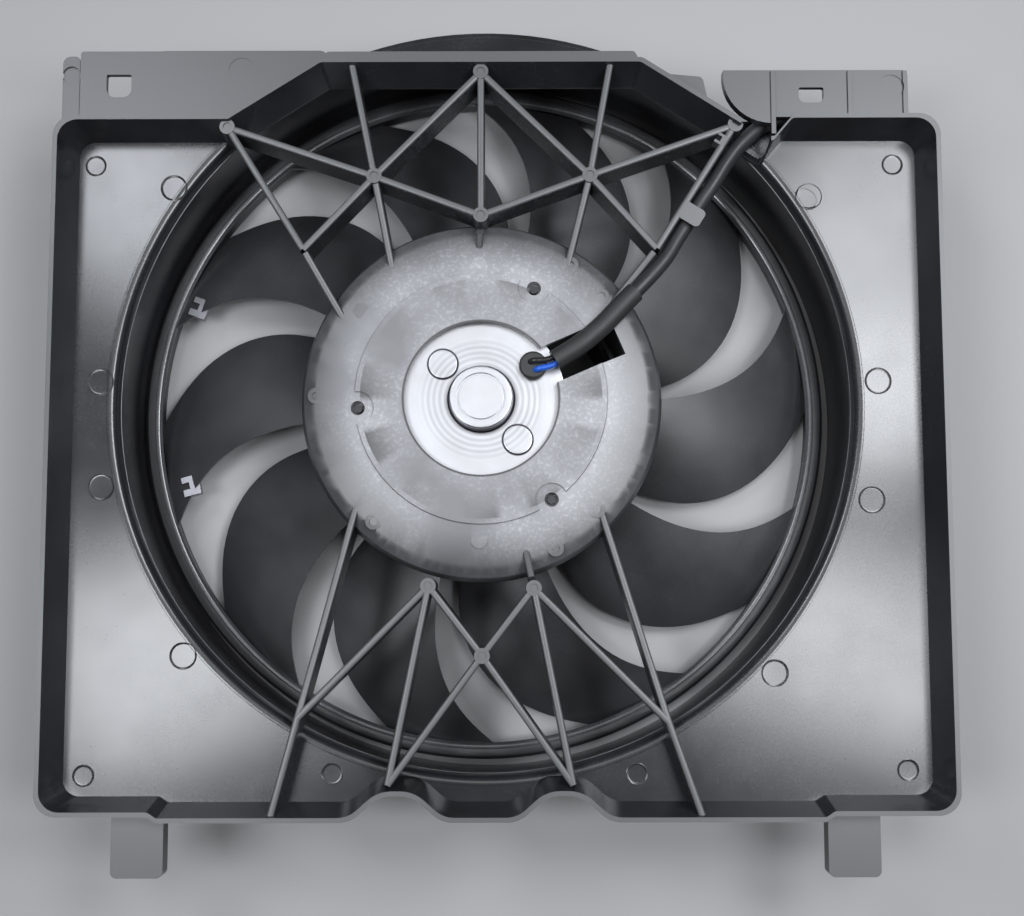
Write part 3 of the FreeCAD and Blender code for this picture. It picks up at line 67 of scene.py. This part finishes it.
def addCamera():
    wide = cameraPlace["photoWidth"]
    bpy.ops.object.camera_add(location=spot(*cameraPlace["eye"]), rotation=cameraPlace["turn"])
    camera = bpy.context.active_object
    camera.name = "photoCamera"
    camera.data.sensor_width = 36.0
    camera.data.lens = 36.0 * cameraPlace["focalPixels"] / wide
    camera.data.shift_y = cameraPlace["axisBelowMiddle"] / wide
    bpy.context.scene.camera = camera


# ---- helpers for modelling
def pickNone():
    if bpy.context.object and bpy.context.object.mode != "OBJECT":
        bpy.ops.object.mode_set(mode="OBJECT")
    bpy.ops.object.select_all(action="DESELECT")


def pickOnly(piece):
    pickNone()
    piece.select_set(True)
    bpy.context.view_layer.objects.active = piece


def settle(piece):
    # the object goes to the origin, its place goes into its mesh
    pickOnly(piece)
    bpy.ops.object.transform_apply(location=True, rotation=True, scale=True)


def smooth(piece, degrees=35.0):
    pickOnly(piece)
    bpy.ops.object.shade_smooth_by_angle(angle=math.radians(degrees))


def softenEdges(piece, width):
    pickOnly(piece)
    soften = piece.modifiers.new("softEdges", "BEVEL")
    soften.width = width * mm
    soften.segments = 2
    soften.limit_method = "ANGLE"
    soften.angle_limit = math.radians(32.0)
    soften.use_clamp_overlap = True
    bpy.ops.object.modifier_apply(modifier=soften.name)


def evenNormals(piece):
    # large flat faces keep their own normals beside the softened edges
    pickOnly(piece)
    weigh = piece.modifiers.new("evenNormals", "WEIGHTED_NORMAL")
    weigh.keep_sharp = True
    weigh.weight = 90
    bpy.ops.object.modifier_apply(modifier=weigh.name)


def copyNode(node, name, edge):
    # a moulding from the frame, merged, with its sharp edges softened
    pickOnly(cad[node])
    bpy.ops.object.duplicate()
    piece = bpy.context.active_object
    piece.name = name
    piece.parent = None
    for key in list(piece.keys()):
        del piece[key]
    piece.data.materials.clear()
    bpy.ops.object.mode_set(mode="EDIT")
    bpy.ops.mesh.select_all(action="SELECT")
    bpy.ops.mesh.remove_doubles(threshold=0.004 * mm)
    bpy.ops.mesh.dissolve_limited(angle_limit=math.radians(0.6))
    bpy.ops.object.mode_set(mode="OBJECT")
    softenEdges(piece, edge)
    smooth(piece)
    evenNormals(piece)
    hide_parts(node)
    return piece


onAxis = 0.02


def latheProfile(name, points, steps, centre=(0.0, 0.0)):
    # (radius, height) points spun about a vertical axis; a radius below onAxis closes the end
    pickNone()
    bpy.ops.mesh.primitive_circle_add(
        vertices=steps, radius=points[0][0] * mm, fill_type="NOTHING",
        location=spot(centre[0], centre[1], points[0][1]))
    piece = bpy.context.active_object
    piece.name = name
    bpy.ops.object.mode_set(mode="EDIT")
    bpy.ops.mesh.select_all(action="SELECT")
    middle = spot(centre[0], centre[1])
    for (before, low), (radius, high) in zip(points, points[1:]):
        rise = (0, 0, (high - low) * mm)
        bpy.ops.mesh.extrude_region_move(TRANSFORM_OT_translate={"value": rise})
        if radius < onAxis:
            bpy.ops.mesh.merge(type="CENTER")
            break
        share = radius / before
        bpy.ops.transform.resize(value=(share, share, 1), center_override=middle)
    bpy.ops.mesh.select_all(action="SELECT")
    bpy.ops.mesh.normals_make_consistent(inside=False)
    bpy.ops.object.mode_set(mode="OBJECT")
    settle(piece)
    smooth(piece)
    return piece


def joinAll(pieces, name):
    pickNone()
    for piece in pieces:
        piece.select_set(True)
    bpy.context.view_layer.objects.active = pieces[0]
    if len(pieces) > 1:
        bpy.ops.object.join()
    joined = bpy.context.active_object
    joined.name = name
    return joined


# ---- shader groups
def newGroup(name, inputs, outputs):
    group = bpy.data.node_groups.new(name, "ShaderNodeTree")
    for label, kind, start in inputs:
        socket = group.interface.new_socket(label, in_out="INPUT", socket_type=kind)
        if start is not None:
            socket.default_value = start
    for label, kind in outputs:
        group.interface.new_socket(label, in_out="OUTPUT", socket_type=kind)
    entry = group.nodes.new("NodeGroupInput")
    leave = group.nodes.new("NodeGroupOutput")
    return group, entry, leave


def feed(tree, slot, value):
    # a number or a colour is set on the socket, another node's output is linked to it
    if isinstance(value, (int, float, tuple)):
        slot.default_value = value
    else:
        tree.links.new(value, slot)


def addMath(tree, operation, *values):
    node = tree.nodes.new("ShaderNodeMath")
    node.operation = operation
    for slot, value in zip(node.inputs, values):
        feed(tree, slot, value)
    return node.outputs[0]


def addNoise(tree, vector, scale, detail=4.0, roughness=0.55):
    node = tree.nodes.new("ShaderNodeTexNoise")
    node.inputs["Detail"].default_value = detail
    node.inputs["Roughness"].default_value = roughness
    tree.links.new(vector, node.inputs["Vector"])
    feed(tree, node.inputs["Scale"], scale)
    return node.outputs["Fac"]


def addBlend(tree, share, first, second):
    node = tree.nodes.new("ShaderNodeMix")
    node.data_type = "RGBA"
    for slot, value in ((node.inputs[0], share), (node.inputs[6], first), (node.inputs[7], second)):
        feed(tree, slot, value)
    return node.outputs[2]


def remap(tree, value, low, high, newLow, newHigh):
    node = tree.nodes.new("ShaderNodeMapRange")
    labels = ("Value", "From Min", "From Max", "To Min", "To Max")
    for label, amount in zip(labels, (value, low, high, newLow, newHigh)):
        feed(tree, node.inputs[label], amount)
    return node.outputs[0]


colour, number, vector = "NodeSocketColor", "NodeSocketFloat", "NodeSocketVector"


def makeMouldGroup():
    # moulded plastic: slow clouds of a paler tone, and dry specks where it is pale
    group, entry, leave = newGroup("mouldedPlastic", [
        ("Vector", vector, None), ("Tone", colour, (0.02, 0.02, 0.022, 1)),
        ("Pale Tone", colour, (0.05, 0.05, 0.055, 1)), ("Gloss", number, 0.35),
        ("Haze", number, 0.12), ("Grain Scale", number, 900.0), ("Dryness", number, 0.0),
    ], [("Color", colour), ("Roughness", number), ("Height", number)])
    place = entry.outputs["Vector"]
    slow = addNoise(group, place, 7.0, 2.0, 0.45)
    flow = addNoise(group, place, 26.0, 3.0, 0.5)
    fine = addNoise(group, place, entry.outputs["Grain Scale"], 2.0, 0.5)
    specks = remap(group, addNoise(group, place, 420.0, 3.0, 0.65), 0.5, 0.72, 0.0, 1.0)
    patch = remap(group, addMath(group, "ADD", addMath(group, "MULTIPLY", slow, 0.6),
                                 addMath(group, "MULTIPLY", flow, 0.4)), 0.4, 0.62, 0.0, 1.0)
    dry = addMath(group, "MULTIPLY", specks, patch)
    dry = addMath(group, "MULTIPLY", dry, entry.outputs["Dryness"])
    blended = addBlend(group, patch, entry.outputs["Tone"], entry.outputs["Pale Tone"])
    group.links.new(addBlend(group, dry, blended, (0.55, 0.56, 0.6, 1)), leave.inputs["Color"])
    swing = addMath(group, "MULTIPLY", addMath(group, "SUBTRACT", flow, 0.5), entry.outputs["Haze"])
    swing = addMath(group, "MULTIPLY", swing, 2.0)
    group.links.new(addMath(group, "ADD", entry.outputs["Gloss"], swing), leave.inputs["Roughness"])
    rise = addMath(group, "ADD", addMath(group, "MULTIPLY", fine, 0.6),
                   addMath(group, "MULTIPLY", flow, 0.4))
    group.links.new(rise, leave.inputs["Height"])
    return group


def newMaterial(name, metallic=0.0, centre=None):
    material = bpy.data.materials.new(name)
    material.use_nodes = True
    tree = material.node_tree
    shader = tree.nodes["Principled BSDF"]
    shader.inputs["Metallic"].default_value = metallic
    place = tree.nodes.new("ShaderNodeTexCoord").outputs["Object"]
    if centre is not None:
        mapping = tree.nodes.new("ShaderNodeMapping")
        mapping.inputs["Location"].default_value = (-centre[0], -centre[1], 0)
        tree.links.new(place, mapping.inputs["Vector"])
        place = mapping.outputs[0]
    return material, tree, shader, place


def addBump(tree, shader, height, strength, distance):
    bump = tree.nodes.new("ShaderNodeBump")
    bump.inputs["Strength"].default_value = strength
    bump.inputs["Distance"].default_value = distance * mm
    tree.links.new(height, bump.inputs["Height"])
    tree.links.new(bump.outputs[0], shader.inputs["Normal"])


mouldGroup = makeMouldGroup()
buttonPlaces = [(-24.7, 22.8), (23.4, -26.4)]


def paintedTopLightMask(tree, place, lowest):
    # 1 on faces that look up and lie above a level given from the rim, 0 elsewhere; where it is 1 a
    # lighter tone is painted on, painted light falling on the tops
    height = tree.nodes.new("ShaderNodeSeparateXYZ")
    tree.links.new(place, height.inputs[0])
    facing = tree.nodes.new("ShaderNodeSeparateXYZ")
    tree.links.new(tree.nodes.new("ShaderNodeNewGeometry").outputs["Normal"], facing.inputs[0])
    level = rimLevel + lowest * mm
    high = remap(tree, height.outputs["Z"], level - mm, level + mm, 0.0, 1.0)
    return addMath(tree, "MULTIPLY", high, remap(tree, facing.outputs["Z"], 0.35, 0.8, 0.0, 1.0))


def axisRadius(tree, place):
    # distance from the fan's axis, for a place that is centred on it
    flat = tree.nodes.new("ShaderNodeVectorMath")
    flat.operation = "MULTIPLY"
    flat.inputs[1].default_value = (1, 1, 0)
    tree.links.new(place, flat.inputs[0])
    reach = tree.nodes.new("ShaderNodeVectorMath")
    reach.operation = "LENGTH"
    tree.links.new(flat.outputs[0], reach.inputs[0])
    return flat.outputs[0], reach.outputs["Value"]


def paintedShadeMask(tree, place, paintedShade):
    # painted shade: darker towards the dome's edge where its slope is shaded, a painted shadow at the
    # bore's edge, and painted shade in some sectors of the web between the bore and the groove round
    # it
    flat, radius = axisRadius(tree, place)
    edge = remap(tree, radius, paintedShade["edgeFrom"] * mm, paintedShade["edgeTo"] * mm, 0.0, paintedShade["edge"])
    parts = tree.nodes.new("ShaderNodeSeparateXYZ")
    tree.links.new(flat, parts.inputs[0])
    angle = addMath(tree, "ARCTAN2", parts.outputs["Y"], parts.outputs["X"])
    wave = addMath(tree, "SINE", addMath(tree, "MULTIPLY", angle, paintedShade["sectors"]))
    sector = remap(tree, wave, -0.35, 0.25, 0.0, 1.0)
    inner = remap(tree, radius, paintedShade["webFrom"] * mm, paintedShade["webTo"] * mm, 0.0, paintedShade["web"])
    inside = remap(tree, radius, paintedShade["webTo"] * mm, (paintedShade["webTo"] + 0.6) * mm, 1.0, 0.0)
    some = remap(tree, addNoise(tree, place, 14.0, 2.0), 0.42, 0.58, 0.15, 1.0)
    web = addMath(tree, "MULTIPLY", addMath(tree, "MULTIPLY", inner, inside),
                  addMath(tree, "MULTIPLY", sector, some))
    bore = remap(tree, radius, paintedShade["bore"] * mm, (paintedShade["bore"] + 0.7) * mm, 0.92, 0.0)
    return addMath(tree, "MAXIMUM", addMath(tree, "MAXIMUM", edge, bore), web)


def mouldMaterial(name, settings):
    material, tree, shader, place = newMaterial(name, 0.0, axis if "paintedShade" in settings else None)
    shader.inputs["Specular IOR Level"].default_value = settings.get("sheen", 0.7)
    group = tree.nodes.new("ShaderNodeGroup")
    group.node_tree = mouldGroup
    tree.links.new(place, group.inputs["Vector"])
    group.inputs["Tone"].default_value = (*settings["tone"], 1)
    group.inputs["Pale Tone"].default_value = (*settings["pale"], 1)
    group.inputs["Gloss"].default_value = settings["gloss"]
    group.inputs["Haze"].default_value = settings["haze"]
    group.inputs["Grain Scale"].default_value = settings.get("grain", 1200.0)
    group.inputs["Dryness"].default_value = settings.get("dry", 0.0)
    tone, gloss = group.outputs["Color"], group.outputs["Roughness"]
    # a lighter tone painted on upward faces above the level: painted light on the tops
    if "paintedTopLight" in settings:
        mask = paintedTopLightMask(tree, place, settings["topLevel"])
        tone = addBlend(tree, mask, tone, (*settings["paintedTopLight"], 1))
        gloss = remap(tree, mask, 0.0, 1.0, gloss, settings["topGloss"])
    # painted shade and painted shadow on the motor mount, blended to a dark tone
    if "paintedShade" in settings:
        mask = paintedShadeMask(tree, place, settings["paintedShade"])
        tone = addBlend(tree, mask, tone, (*settings["paintedShade"]["tone"], 1))
    tree.links.new(tone, shader.inputs["Base Color"])
    tree.links.new(gloss, shader.inputs["Roughness"])
    addBump(tree, shader, group.outputs["Height"], 0.35, settings["depth"])
    return material


def endPlateMaterial(name, settings):
    # bright zinc with turned rings, painted shade in bands over the rings, and dark painted shade
    # lines in the grooves round the bearing's boss and the buttons
    material, tree, shader, place = newMaterial(name, 1.0, axis)
    flat, radius = axisRadius(tree, place)
    cloud = addNoise(tree, place, 45.0, 3.0)
    tone = addBlend(tree, cloud, (*settings["tone"], 1), (*settings["pale"], 1))
    lineFrom, lineTo = settings["lineFrom"], settings["lineTo"]
    outside = remap(tree, radius, lineFrom * mm, (lineFrom + 0.3) * mm, 0.0, 1.0)
    within = remap(tree, radius, lineTo * mm, (lineTo + 0.4) * mm, 1.0, 0.0)
    line = addMath(tree, "MULTIPLY", outside, within)
    for x, y in buttonPlaces:
        gap = tree.nodes.new("ShaderNodeVectorMath")
        gap.operation = "DISTANCE"
        gap.inputs[1].default_value = (x * mm, y * mm, 0)
        tree.links.new(flat, gap.inputs[0])
        away = addMath(tree, "ABSOLUTE", addMath(tree, "SUBTRACT", gap.outputs["Value"],
                                                 settings["buttonLine"] * mm))
        line = addMath(tree, "MAXIMUM", line, remap(tree, away, 0.3 * mm, 0.8 * mm, 1.0, 0.0))
    ring = remap(tree, addMath(tree, "SINE", addMath(tree, "MULTIPLY", radius, settings["rings"])),
                 -1.0, 1.0, 0.0, settings["ringShade"])
    ring = addMath(tree, "MULTIPLY", ring, remap(tree, radius, 34.0 * mm, 42.0 * mm, 1.0, 0.0))
    ring = addMath(tree, "MULTIPLY", ring, outside)
    # painted shade: darker bands over the turned rings and dark lines in the grooves round the boss
    # and the buttons
    tone = addBlend(tree, ring, tone, (*settings["paintedShadeTone"], 1))
    tone = addBlend(tree, line, tone, (*settings["paintedShadeTone"], 1))
    tree.links.new(tone, shader.inputs["Base Color"])
    gloss = remap(tree, cloud, 0.3, 0.7, settings["gloss"] - 0.05, settings["gloss"] + 0.07)
    tree.links.new(gloss, shader.inputs["Roughness"])
    turns = addMath(tree, "SINE", addMath(tree, "MULTIPLY", radius, settings["turns"]))
    addBump(tree, shader, turns, 0.25, settings["turnDepth"])
    return material


def plainMaterial(name, tone, roughness, metallic, grain=600.0, depth=0.02):
    # metals, rubber and small parts: tone and roughness vary a little over the surface
    material, tree, shader, place = newMaterial(name, metallic)
    cloud = addNoise(tree, place, 60.0, 4.0)
    grainFine = addNoise(tree, place, grain, 3.0)
    pale = tuple(min(1.0, v * 1.25 + 0.01) for v in tone)
    tree.links.new(addBlend(tree, cloud, (*tone, 1), (*pale, 1)), shader.inputs["Base Color"])
    gloss = remap(tree, cloud, 0.3, 0.7, roughness - 0.06, roughness + 0.08)
    tree.links.new(gloss, shader.inputs["Roughness"])
    addBump(tree, shader, grainFine, 0.3, depth)
    return material


materials = {
    # the tray's rim and tabs get a lighter painted tone on their upward faces: painted light
    "shroud": mouldMaterial("shroudMoulding", {
        "tone": (0.014, 0.014, 0.016), "pale": (0.022, 0.023, 0.027), "gloss": 0.24, "haze": 0.05,
        "dry": 0.025, "depth": 0.004, "grain": 500.0, "sheen": 0.85,
        "paintedTopLight": (0.1, 0.102, 0.106), "topGloss": 0.42, "topLevel": -12.0}),
    # the struts' tops get a lighter painted tone: painted light along their tops
    "strut": mouldMaterial("strutMoulding", {
        "tone": (0.016, 0.016, 0.018), "pale": (0.026, 0.026, 0.03), "gloss": 0.34, "haze": 0.1,
        "dry": 0.2, "depth": 0.03, "paintedTopLight": (0.125, 0.127, 0.132), "topGloss": 0.36,
        "topLevel": -18.0}),
    "ring": mouldMaterial("motorMountMoulding", {
        "tone": (0.2, 0.203, 0.215), "pale": (0.38, 0.385, 0.4), "gloss": 0.4, "haze": 0.14,
        "dry": 1.0, "depth": 0.05, "sheen": 0.8,
        # painted shade: dome edge, bore edge shadow and web sectors darkened
        "paintedShade": {"tone": (0.03, 0.03, 0.033), "edgeFrom": 86.0, "edgeTo": 110.0, "edge": 0.85,
                 "sectors": 11.0, "webFrom": 52.0, "webTo": 77.2, "web": 0.85, "bore": 50.4}}),
    "fan": mouldMaterial("fanMoulding", {
        "tone": (0.018, 0.018, 0.02), "pale": (0.03, 0.03, 0.033), "gloss": 0.34, "haze": 0.06,
        "dry": 0.02, "depth": 0.006, "sheen": 0.8}),
    # paler tone than the fan's moulding: part of the bright line along the fan ring's lip and the
    # barrel's throat line is a painted highlight
    "bead": mouldMaterial("fanBead", {
        "tone": (0.05, 0.05, 0.054), "pale": (0.09, 0.091, 0.098), "gloss": 0.2, "haze": 0.05,
        "dry": 0.1, "depth": 0.004, "sheen": 1.0}),
    "can": plainMaterial("motorCanSteel", (0.05, 0.05, 0.055), 0.4, 0.8),
    "plate": endPlateMaterial("endPlateZinc", {
        "tone": (0.54, 0.55, 0.58), "pale": (0.62, 0.63, 0.66), "gloss": 0.34, "turns": 5200.0,
        "turnDepth": 0.012, "lineFrom": 20.1, "lineTo": 21.7, "paintedShadeTone": (0.06, 0.06, 0.07),
        "buttonLine": 9.8, "rings": 1700.0, "ringShade": 0.24}),
    "bronze": plainMaterial("bearingBronze", (0.45, 0.3, 0.15), 0.45, 1.0),
    "steel": plainMaterial("brightSteel", (0.55, 0.56, 0.58), 0.28, 1.0),
    "darkSteel": plainMaterial("screwSteel", (0.05, 0.05, 0.055), 0.4, 1.0),
    "clipSteel": plainMaterial("clipSteel", (0.27, 0.27, 0.29), 0.45, 0.9),
    "ferrite": plainMaterial("ferriteGrey", (0.06, 0.06, 0.065), 0.6, 0.0),
    "stack": plainMaterial("stackSteel", (0.25, 0.25, 0.26), 0.45, 0.9),
    "copper": plainMaterial("copperWire", (0.6, 0.26, 0.12), 0.3, 1.0),
    "carbon": plainMaterial("brushCarbon", (0.03, 0.03, 0.03), 0.55, 0.0),
    "brass": plainMaterial("pressedBrass", (0.7, 0.55, 0.25), 0.3, 1.0),
    "card": plainMaterial("phenolicCard", (0.22, 0.1, 0.04), 0.5, 0.0),
    "rubber": plainMaterial("softRubber", (0.018, 0.018, 0.019), 0.5, 0.0),
    "sleeve": plainMaterial("wovenSleeve", (0.02, 0.02, 0.022), 0.42, 0.0, 1800.0, 0.08),
    "blackWire": plainMaterial("blackInsulation", (0.012, 0.012, 0.012), 0.25, 0.0),
    "blueWire": plainMaterial("blueInsulation", (0.01, 0.09, 0.5), 0.3, 0.0),
    "seal": plainMaterial("siliconeSeal", (0.2, 0.03, 0.02), 0.45, 0.0),
    "connector": plainMaterial("nylonBlack", (0.018, 0.018, 0.02), 0.32, 0.0),
}

nodeMaterials = {
    "shroud_panel": "shroud", "fan_barrel": "shroud", "motor_ring": "ring",
    "upper_struts": "shroud", "lower_struts": "shroud", "motor_can": "can", "end_plate": "plate",
    "front_bearing": "bronze", "rear_bearing": "bronze", "bearing_retainer": "steel",
    "magnets": "ferrite", "armature_core": "stack", "armature_windings": "copper",
    "commutator": "copper", "carbon_brushes": "carbon", "brush_holders": "brass",
    "brush_springs": "steel", "brush_card": "card", "choke_coils": "copper",
    "motor_shaft": "steel", "drive_pin": "steel", "fan_washer": "steel", "fan_nut": "steel",
    "fan": "fan", "balance_clips": "clipSteel", "motor_screws": "darkSteel",
    "lead_grommet": "rubber", "wire_black": "blackWire", "wire_blue": "blueWire",
    "lead_sleeve": "sleeve", "lead_boot": "rubber", "connector_housing": "connector",
    "connector_pins": "brass", "connector_seal": "seal",
}


def paint(piece, name):
    piece.data.materials.clear()
    piece.data.materials.append(materials[name])


def paintNodes():
    for node, name in nodeMaterials.items():
        paint(cad[node], name)
    print("materials on", len(nodeMaterials), "nodes")


# ---- mouldings
barrelMouth = {
    "centre": (2.5, 0.0),
    "roll": [(246.6, -21.62), (246.2, -21.52), (244.6, -21.62), (243.2, -22.1), (242.0, -23.0),
             (241.0, -24.4), (240.4, -26.2), (240.0, -28.6), (239.95, -30.6), (240.4, -31.0)],
    "line": 240.0, "bead": 0.55, "lineTop": -29.4,
}


def makeMouldings():
    made = [
        ("shroud_panel", "shroudTray", 0.5, "shroud"), ("fan_barrel", "fanBarrel", 0.25, "shroud"),
        ("motor_ring", "motorMount", 0.6, "ring"), ("upper_struts", "upperStruts", 0.5, "strut"),
        ("lower_struts", "lowerStruts", 0.5, "strut"),
    ]
    for node, name, edge, finish in made:
        piece = copyNode(node, name, edge)
        paint(piece, finish)
        if node == "fan_barrel":
            line = addBead("throatLine", barrelMouth["line"], barrelMouth["bead"],
                           barrelMouth["lineTop"], barrelMouth["centre"])
            # the throat line takes the bead's paler tone, a painted highlight
            paint(line, "bead")
            roll = latheProfile("mouthRoll", barrelMouth["roll"], 240, barrelMouth["centre"])
            smooth(roll, 60.0)
            paint(roll, finish)
            piece = joinAll([piece, line, roll], name)
        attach(piece, "shroud")
        print("moulding", name, len(piece.data.polygons))


fanRing = {"beadRadius": 230.4, "bead": 3.2, "beadTop": -75.9}


def addBead(name, radius, bead, top, centre=(0.0, 0.0)):
    # a round bead that runs all the way round a ring
    pickNone()
    bpy.ops.mesh.primitive_torus_add(
        major_radius=radius * mm, minor_radius=bead * mm, major_segments=240, minor_segments=20,
        location=spot(centre[0], centre[1], top - bead))
    ring = bpy.context.active_object
    ring.name = name
    settle(ring)
    smooth(ring, 60.0)
    return ring


def makeFan():
    piece = copyNode("fan", "fanMoulding", 0.5)
    paint(piece, "fan")
    bead = addBead("fanBead", fanRing["beadRadius"], fanRing["bead"], fanRing["beadTop"])
    # the lip bead takes a paler tone, a painted highlight along the ring
    paint(bead, "bead")
    piece = joinAll([piece, bead], "fanMoulding")
    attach(piece, "rotor")
    print("fan", len(piece.data.polygons))


# ---- ejector marks: a sunk disc inside a fine raised line
ejectorMarks = {
    "outline": [(7.1, -0.1), (6.95, 0.12), (6.7, 0.2), (6.45, 0.12), (6.3, -0.22), (6.0, -0.34),
                (5.2, -0.36), (0.02, -0.36)],
    "depth": -21.6,
    "spread": 1.8,
    "corners": [(-254.7, 157.6), (-252.6, -239.6), (270.5, -237.0), (271.2, 157.3),
                (-94.8, -238.7), (98.6, -239.1)],
    "others": [(-202.9, 142.6), (-248.3, 13.2), (-245.9, -55.5), (-190.8, -164.1),
               (187.3, -175.7), (252.0, -64.9), (258.1, 12.9), (215.5, 136.0)],
}


def makeMarks():
    pieces = []
    for group, spread in (("corners", 0.0), ("others", ejectorMarks["spread"])):
        outline = [(radius + spread if radius > onAxis else radius, ejectorMarks["depth"] + rise)
                   for radius, rise in ejectorMarks["outline"]]
        for place in ejectorMarks[group]:
            pieces.append(latheProfile("mark", outline, 48, place))
    marks = joinAll(pieces, "ejectorMarks")
    paint(marks, "shroud")
    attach(marks, "shroud")
    print("ejector marks", len(pieces))


# ---- motor's bright end plate, spun about the fan's axis
endPlate = {
    "outline": [
        (54.0, -16.4), (54.3, -16.1), (54.3, -14.9), (53.9, -14.62), (44.2, -14.6), (43.7, -14.66),
        (43.2, -14.6), (37.8, -14.6), (37.2, -14.74), (36.6, -14.6), (34.6, -14.6), (34.0, -14.76),
        (33.4, -14.6), (30.9, -14.6), (30.3, -14.78), (29.7, -14.6), (26.5, -14.6), (25.9, -14.67),
        (25.3, -14.6), (22.6, -14.62), (21.4, -15.1), (21.0, -14.3), (20.5, -11.0), (20.1, -7.6),
        (19.5, -6.8), (18.6, -6.62), (15.7, -6.62), (15.3, -8.2), (14.4, -8.2), (14.0, -6.68),
        (13.5, -6.62), (9.0, -6.66), (4.0, -6.72), (0.01, -6.72),
    ],
    "button": [(10.9, -14.7), (10.7, -14.62), (10.4, -15.3), (9.8, -15.5), (9.5, -14.2), (9.1, -13.55),
               (8.5, -13.42), (6.4, -13.44), (3.0, -13.46), (0.01, -13.46)],
}


def makeEndPlate():
    pieces = [latheProfile("endPlate", endPlate["outline"], 160)]
    for place in buttonPlaces:
        pieces.append(latheProfile("button", endPlate["button"], 64, place))
    plate = joinAll(pieces, "motorEndPlate")
    smooth(plate, 40.0)
    evenNormals(plate)
    paint(plate, "plate")
    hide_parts("end_plate")
    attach(plate, "shroud")
    print("end plate", len(plate.data.polygons))


# ---- floor and light
stageSet = {
    "floorSize": 8.0,
    "floorTone": (0.42, 0.42, 0.425, 1),
    "lamps": [
        # place in millimetres, width and height in metres, power, tone
        ((-540, -215, 1010), (0.34, 0.44), 5.4, (0.93, 0.96, 1.0)),
        ((-617, 560, 1010), (0.3, 0.36), 3.6, (0.9, 0.94, 1.0)),
        ((555, -200, 1010), (0.3, 0.5), 5.0, (0.95, 0.97, 1.0)),
        ((585, 480, 1010), (0.3, 0.5), 4.6, (0.92, 0.95, 1.0)),
        ((660, 215, 1010), (0.22, 0.3), 3.4, (0.93, 0.96, 1.0)),
        ((-30, 200, 960), (0.5, 0.5), 1.1, (1.0, 1.0, 1.0)),
    ],
    "world": 0.08,
}


def makeStage():
    pickNone()
    bpy.ops.mesh.primitive_plane_add(size=stageSet["floorSize"], location=(0, 0, -0.0004))
    floor = bpy.context.active_object
    floor.name = "studioFloor"
    material, tree, shader, place = newMaterial("paleFloor")
    cloud = addNoise(tree, place, 3.0, 2.0)
    tone = stageSet["floorTone"]
    tree.links.new(addBlend(tree, cloud, tone, tuple(v * 0.97 for v in tone[:3]) + (1,)),
                   shader.inputs["Base Color"])
    shader.inputs["Roughness"].default_value = 0.8
    floor.data.materials.append(material)
    for index, (where, size, power, tone) in enumerate(stageSet["lamps"]):
        bpy.ops.object.light_add(type="AREA", location=spot(*where))
        lamp = bpy.context.active_object
        lamp.name = "softbox%d" % index
        lamp.data.shape = "RECTANGLE"
        lamp.data.size, lamp.data.size_y = size
        lamp.data.energy = power
        lamp.data.color = tone
        aim = spot(0, 0, -40) - spot(*where)
        lamp.rotation_euler = aim.to_track_quat("-Z", "Y").to_euler()
    world = bpy.data.worlds.new("studioAir")
    bpy.context.scene.world = world
    world.use_nodes = True
    world.node_tree.nodes["Background"].inputs["Color"].default_value = (1, 1, 1, 1)
    world.node_tree.nodes["Background"].inputs["Strength"].default_value = stageSet["world"]
    bpy.context.scene.view_settings.view_transform = "Standard"


addCamera()
paintNodes()
makeMouldings()
makeFan()
makeMarks()
makeEndPlate()
makeStage()
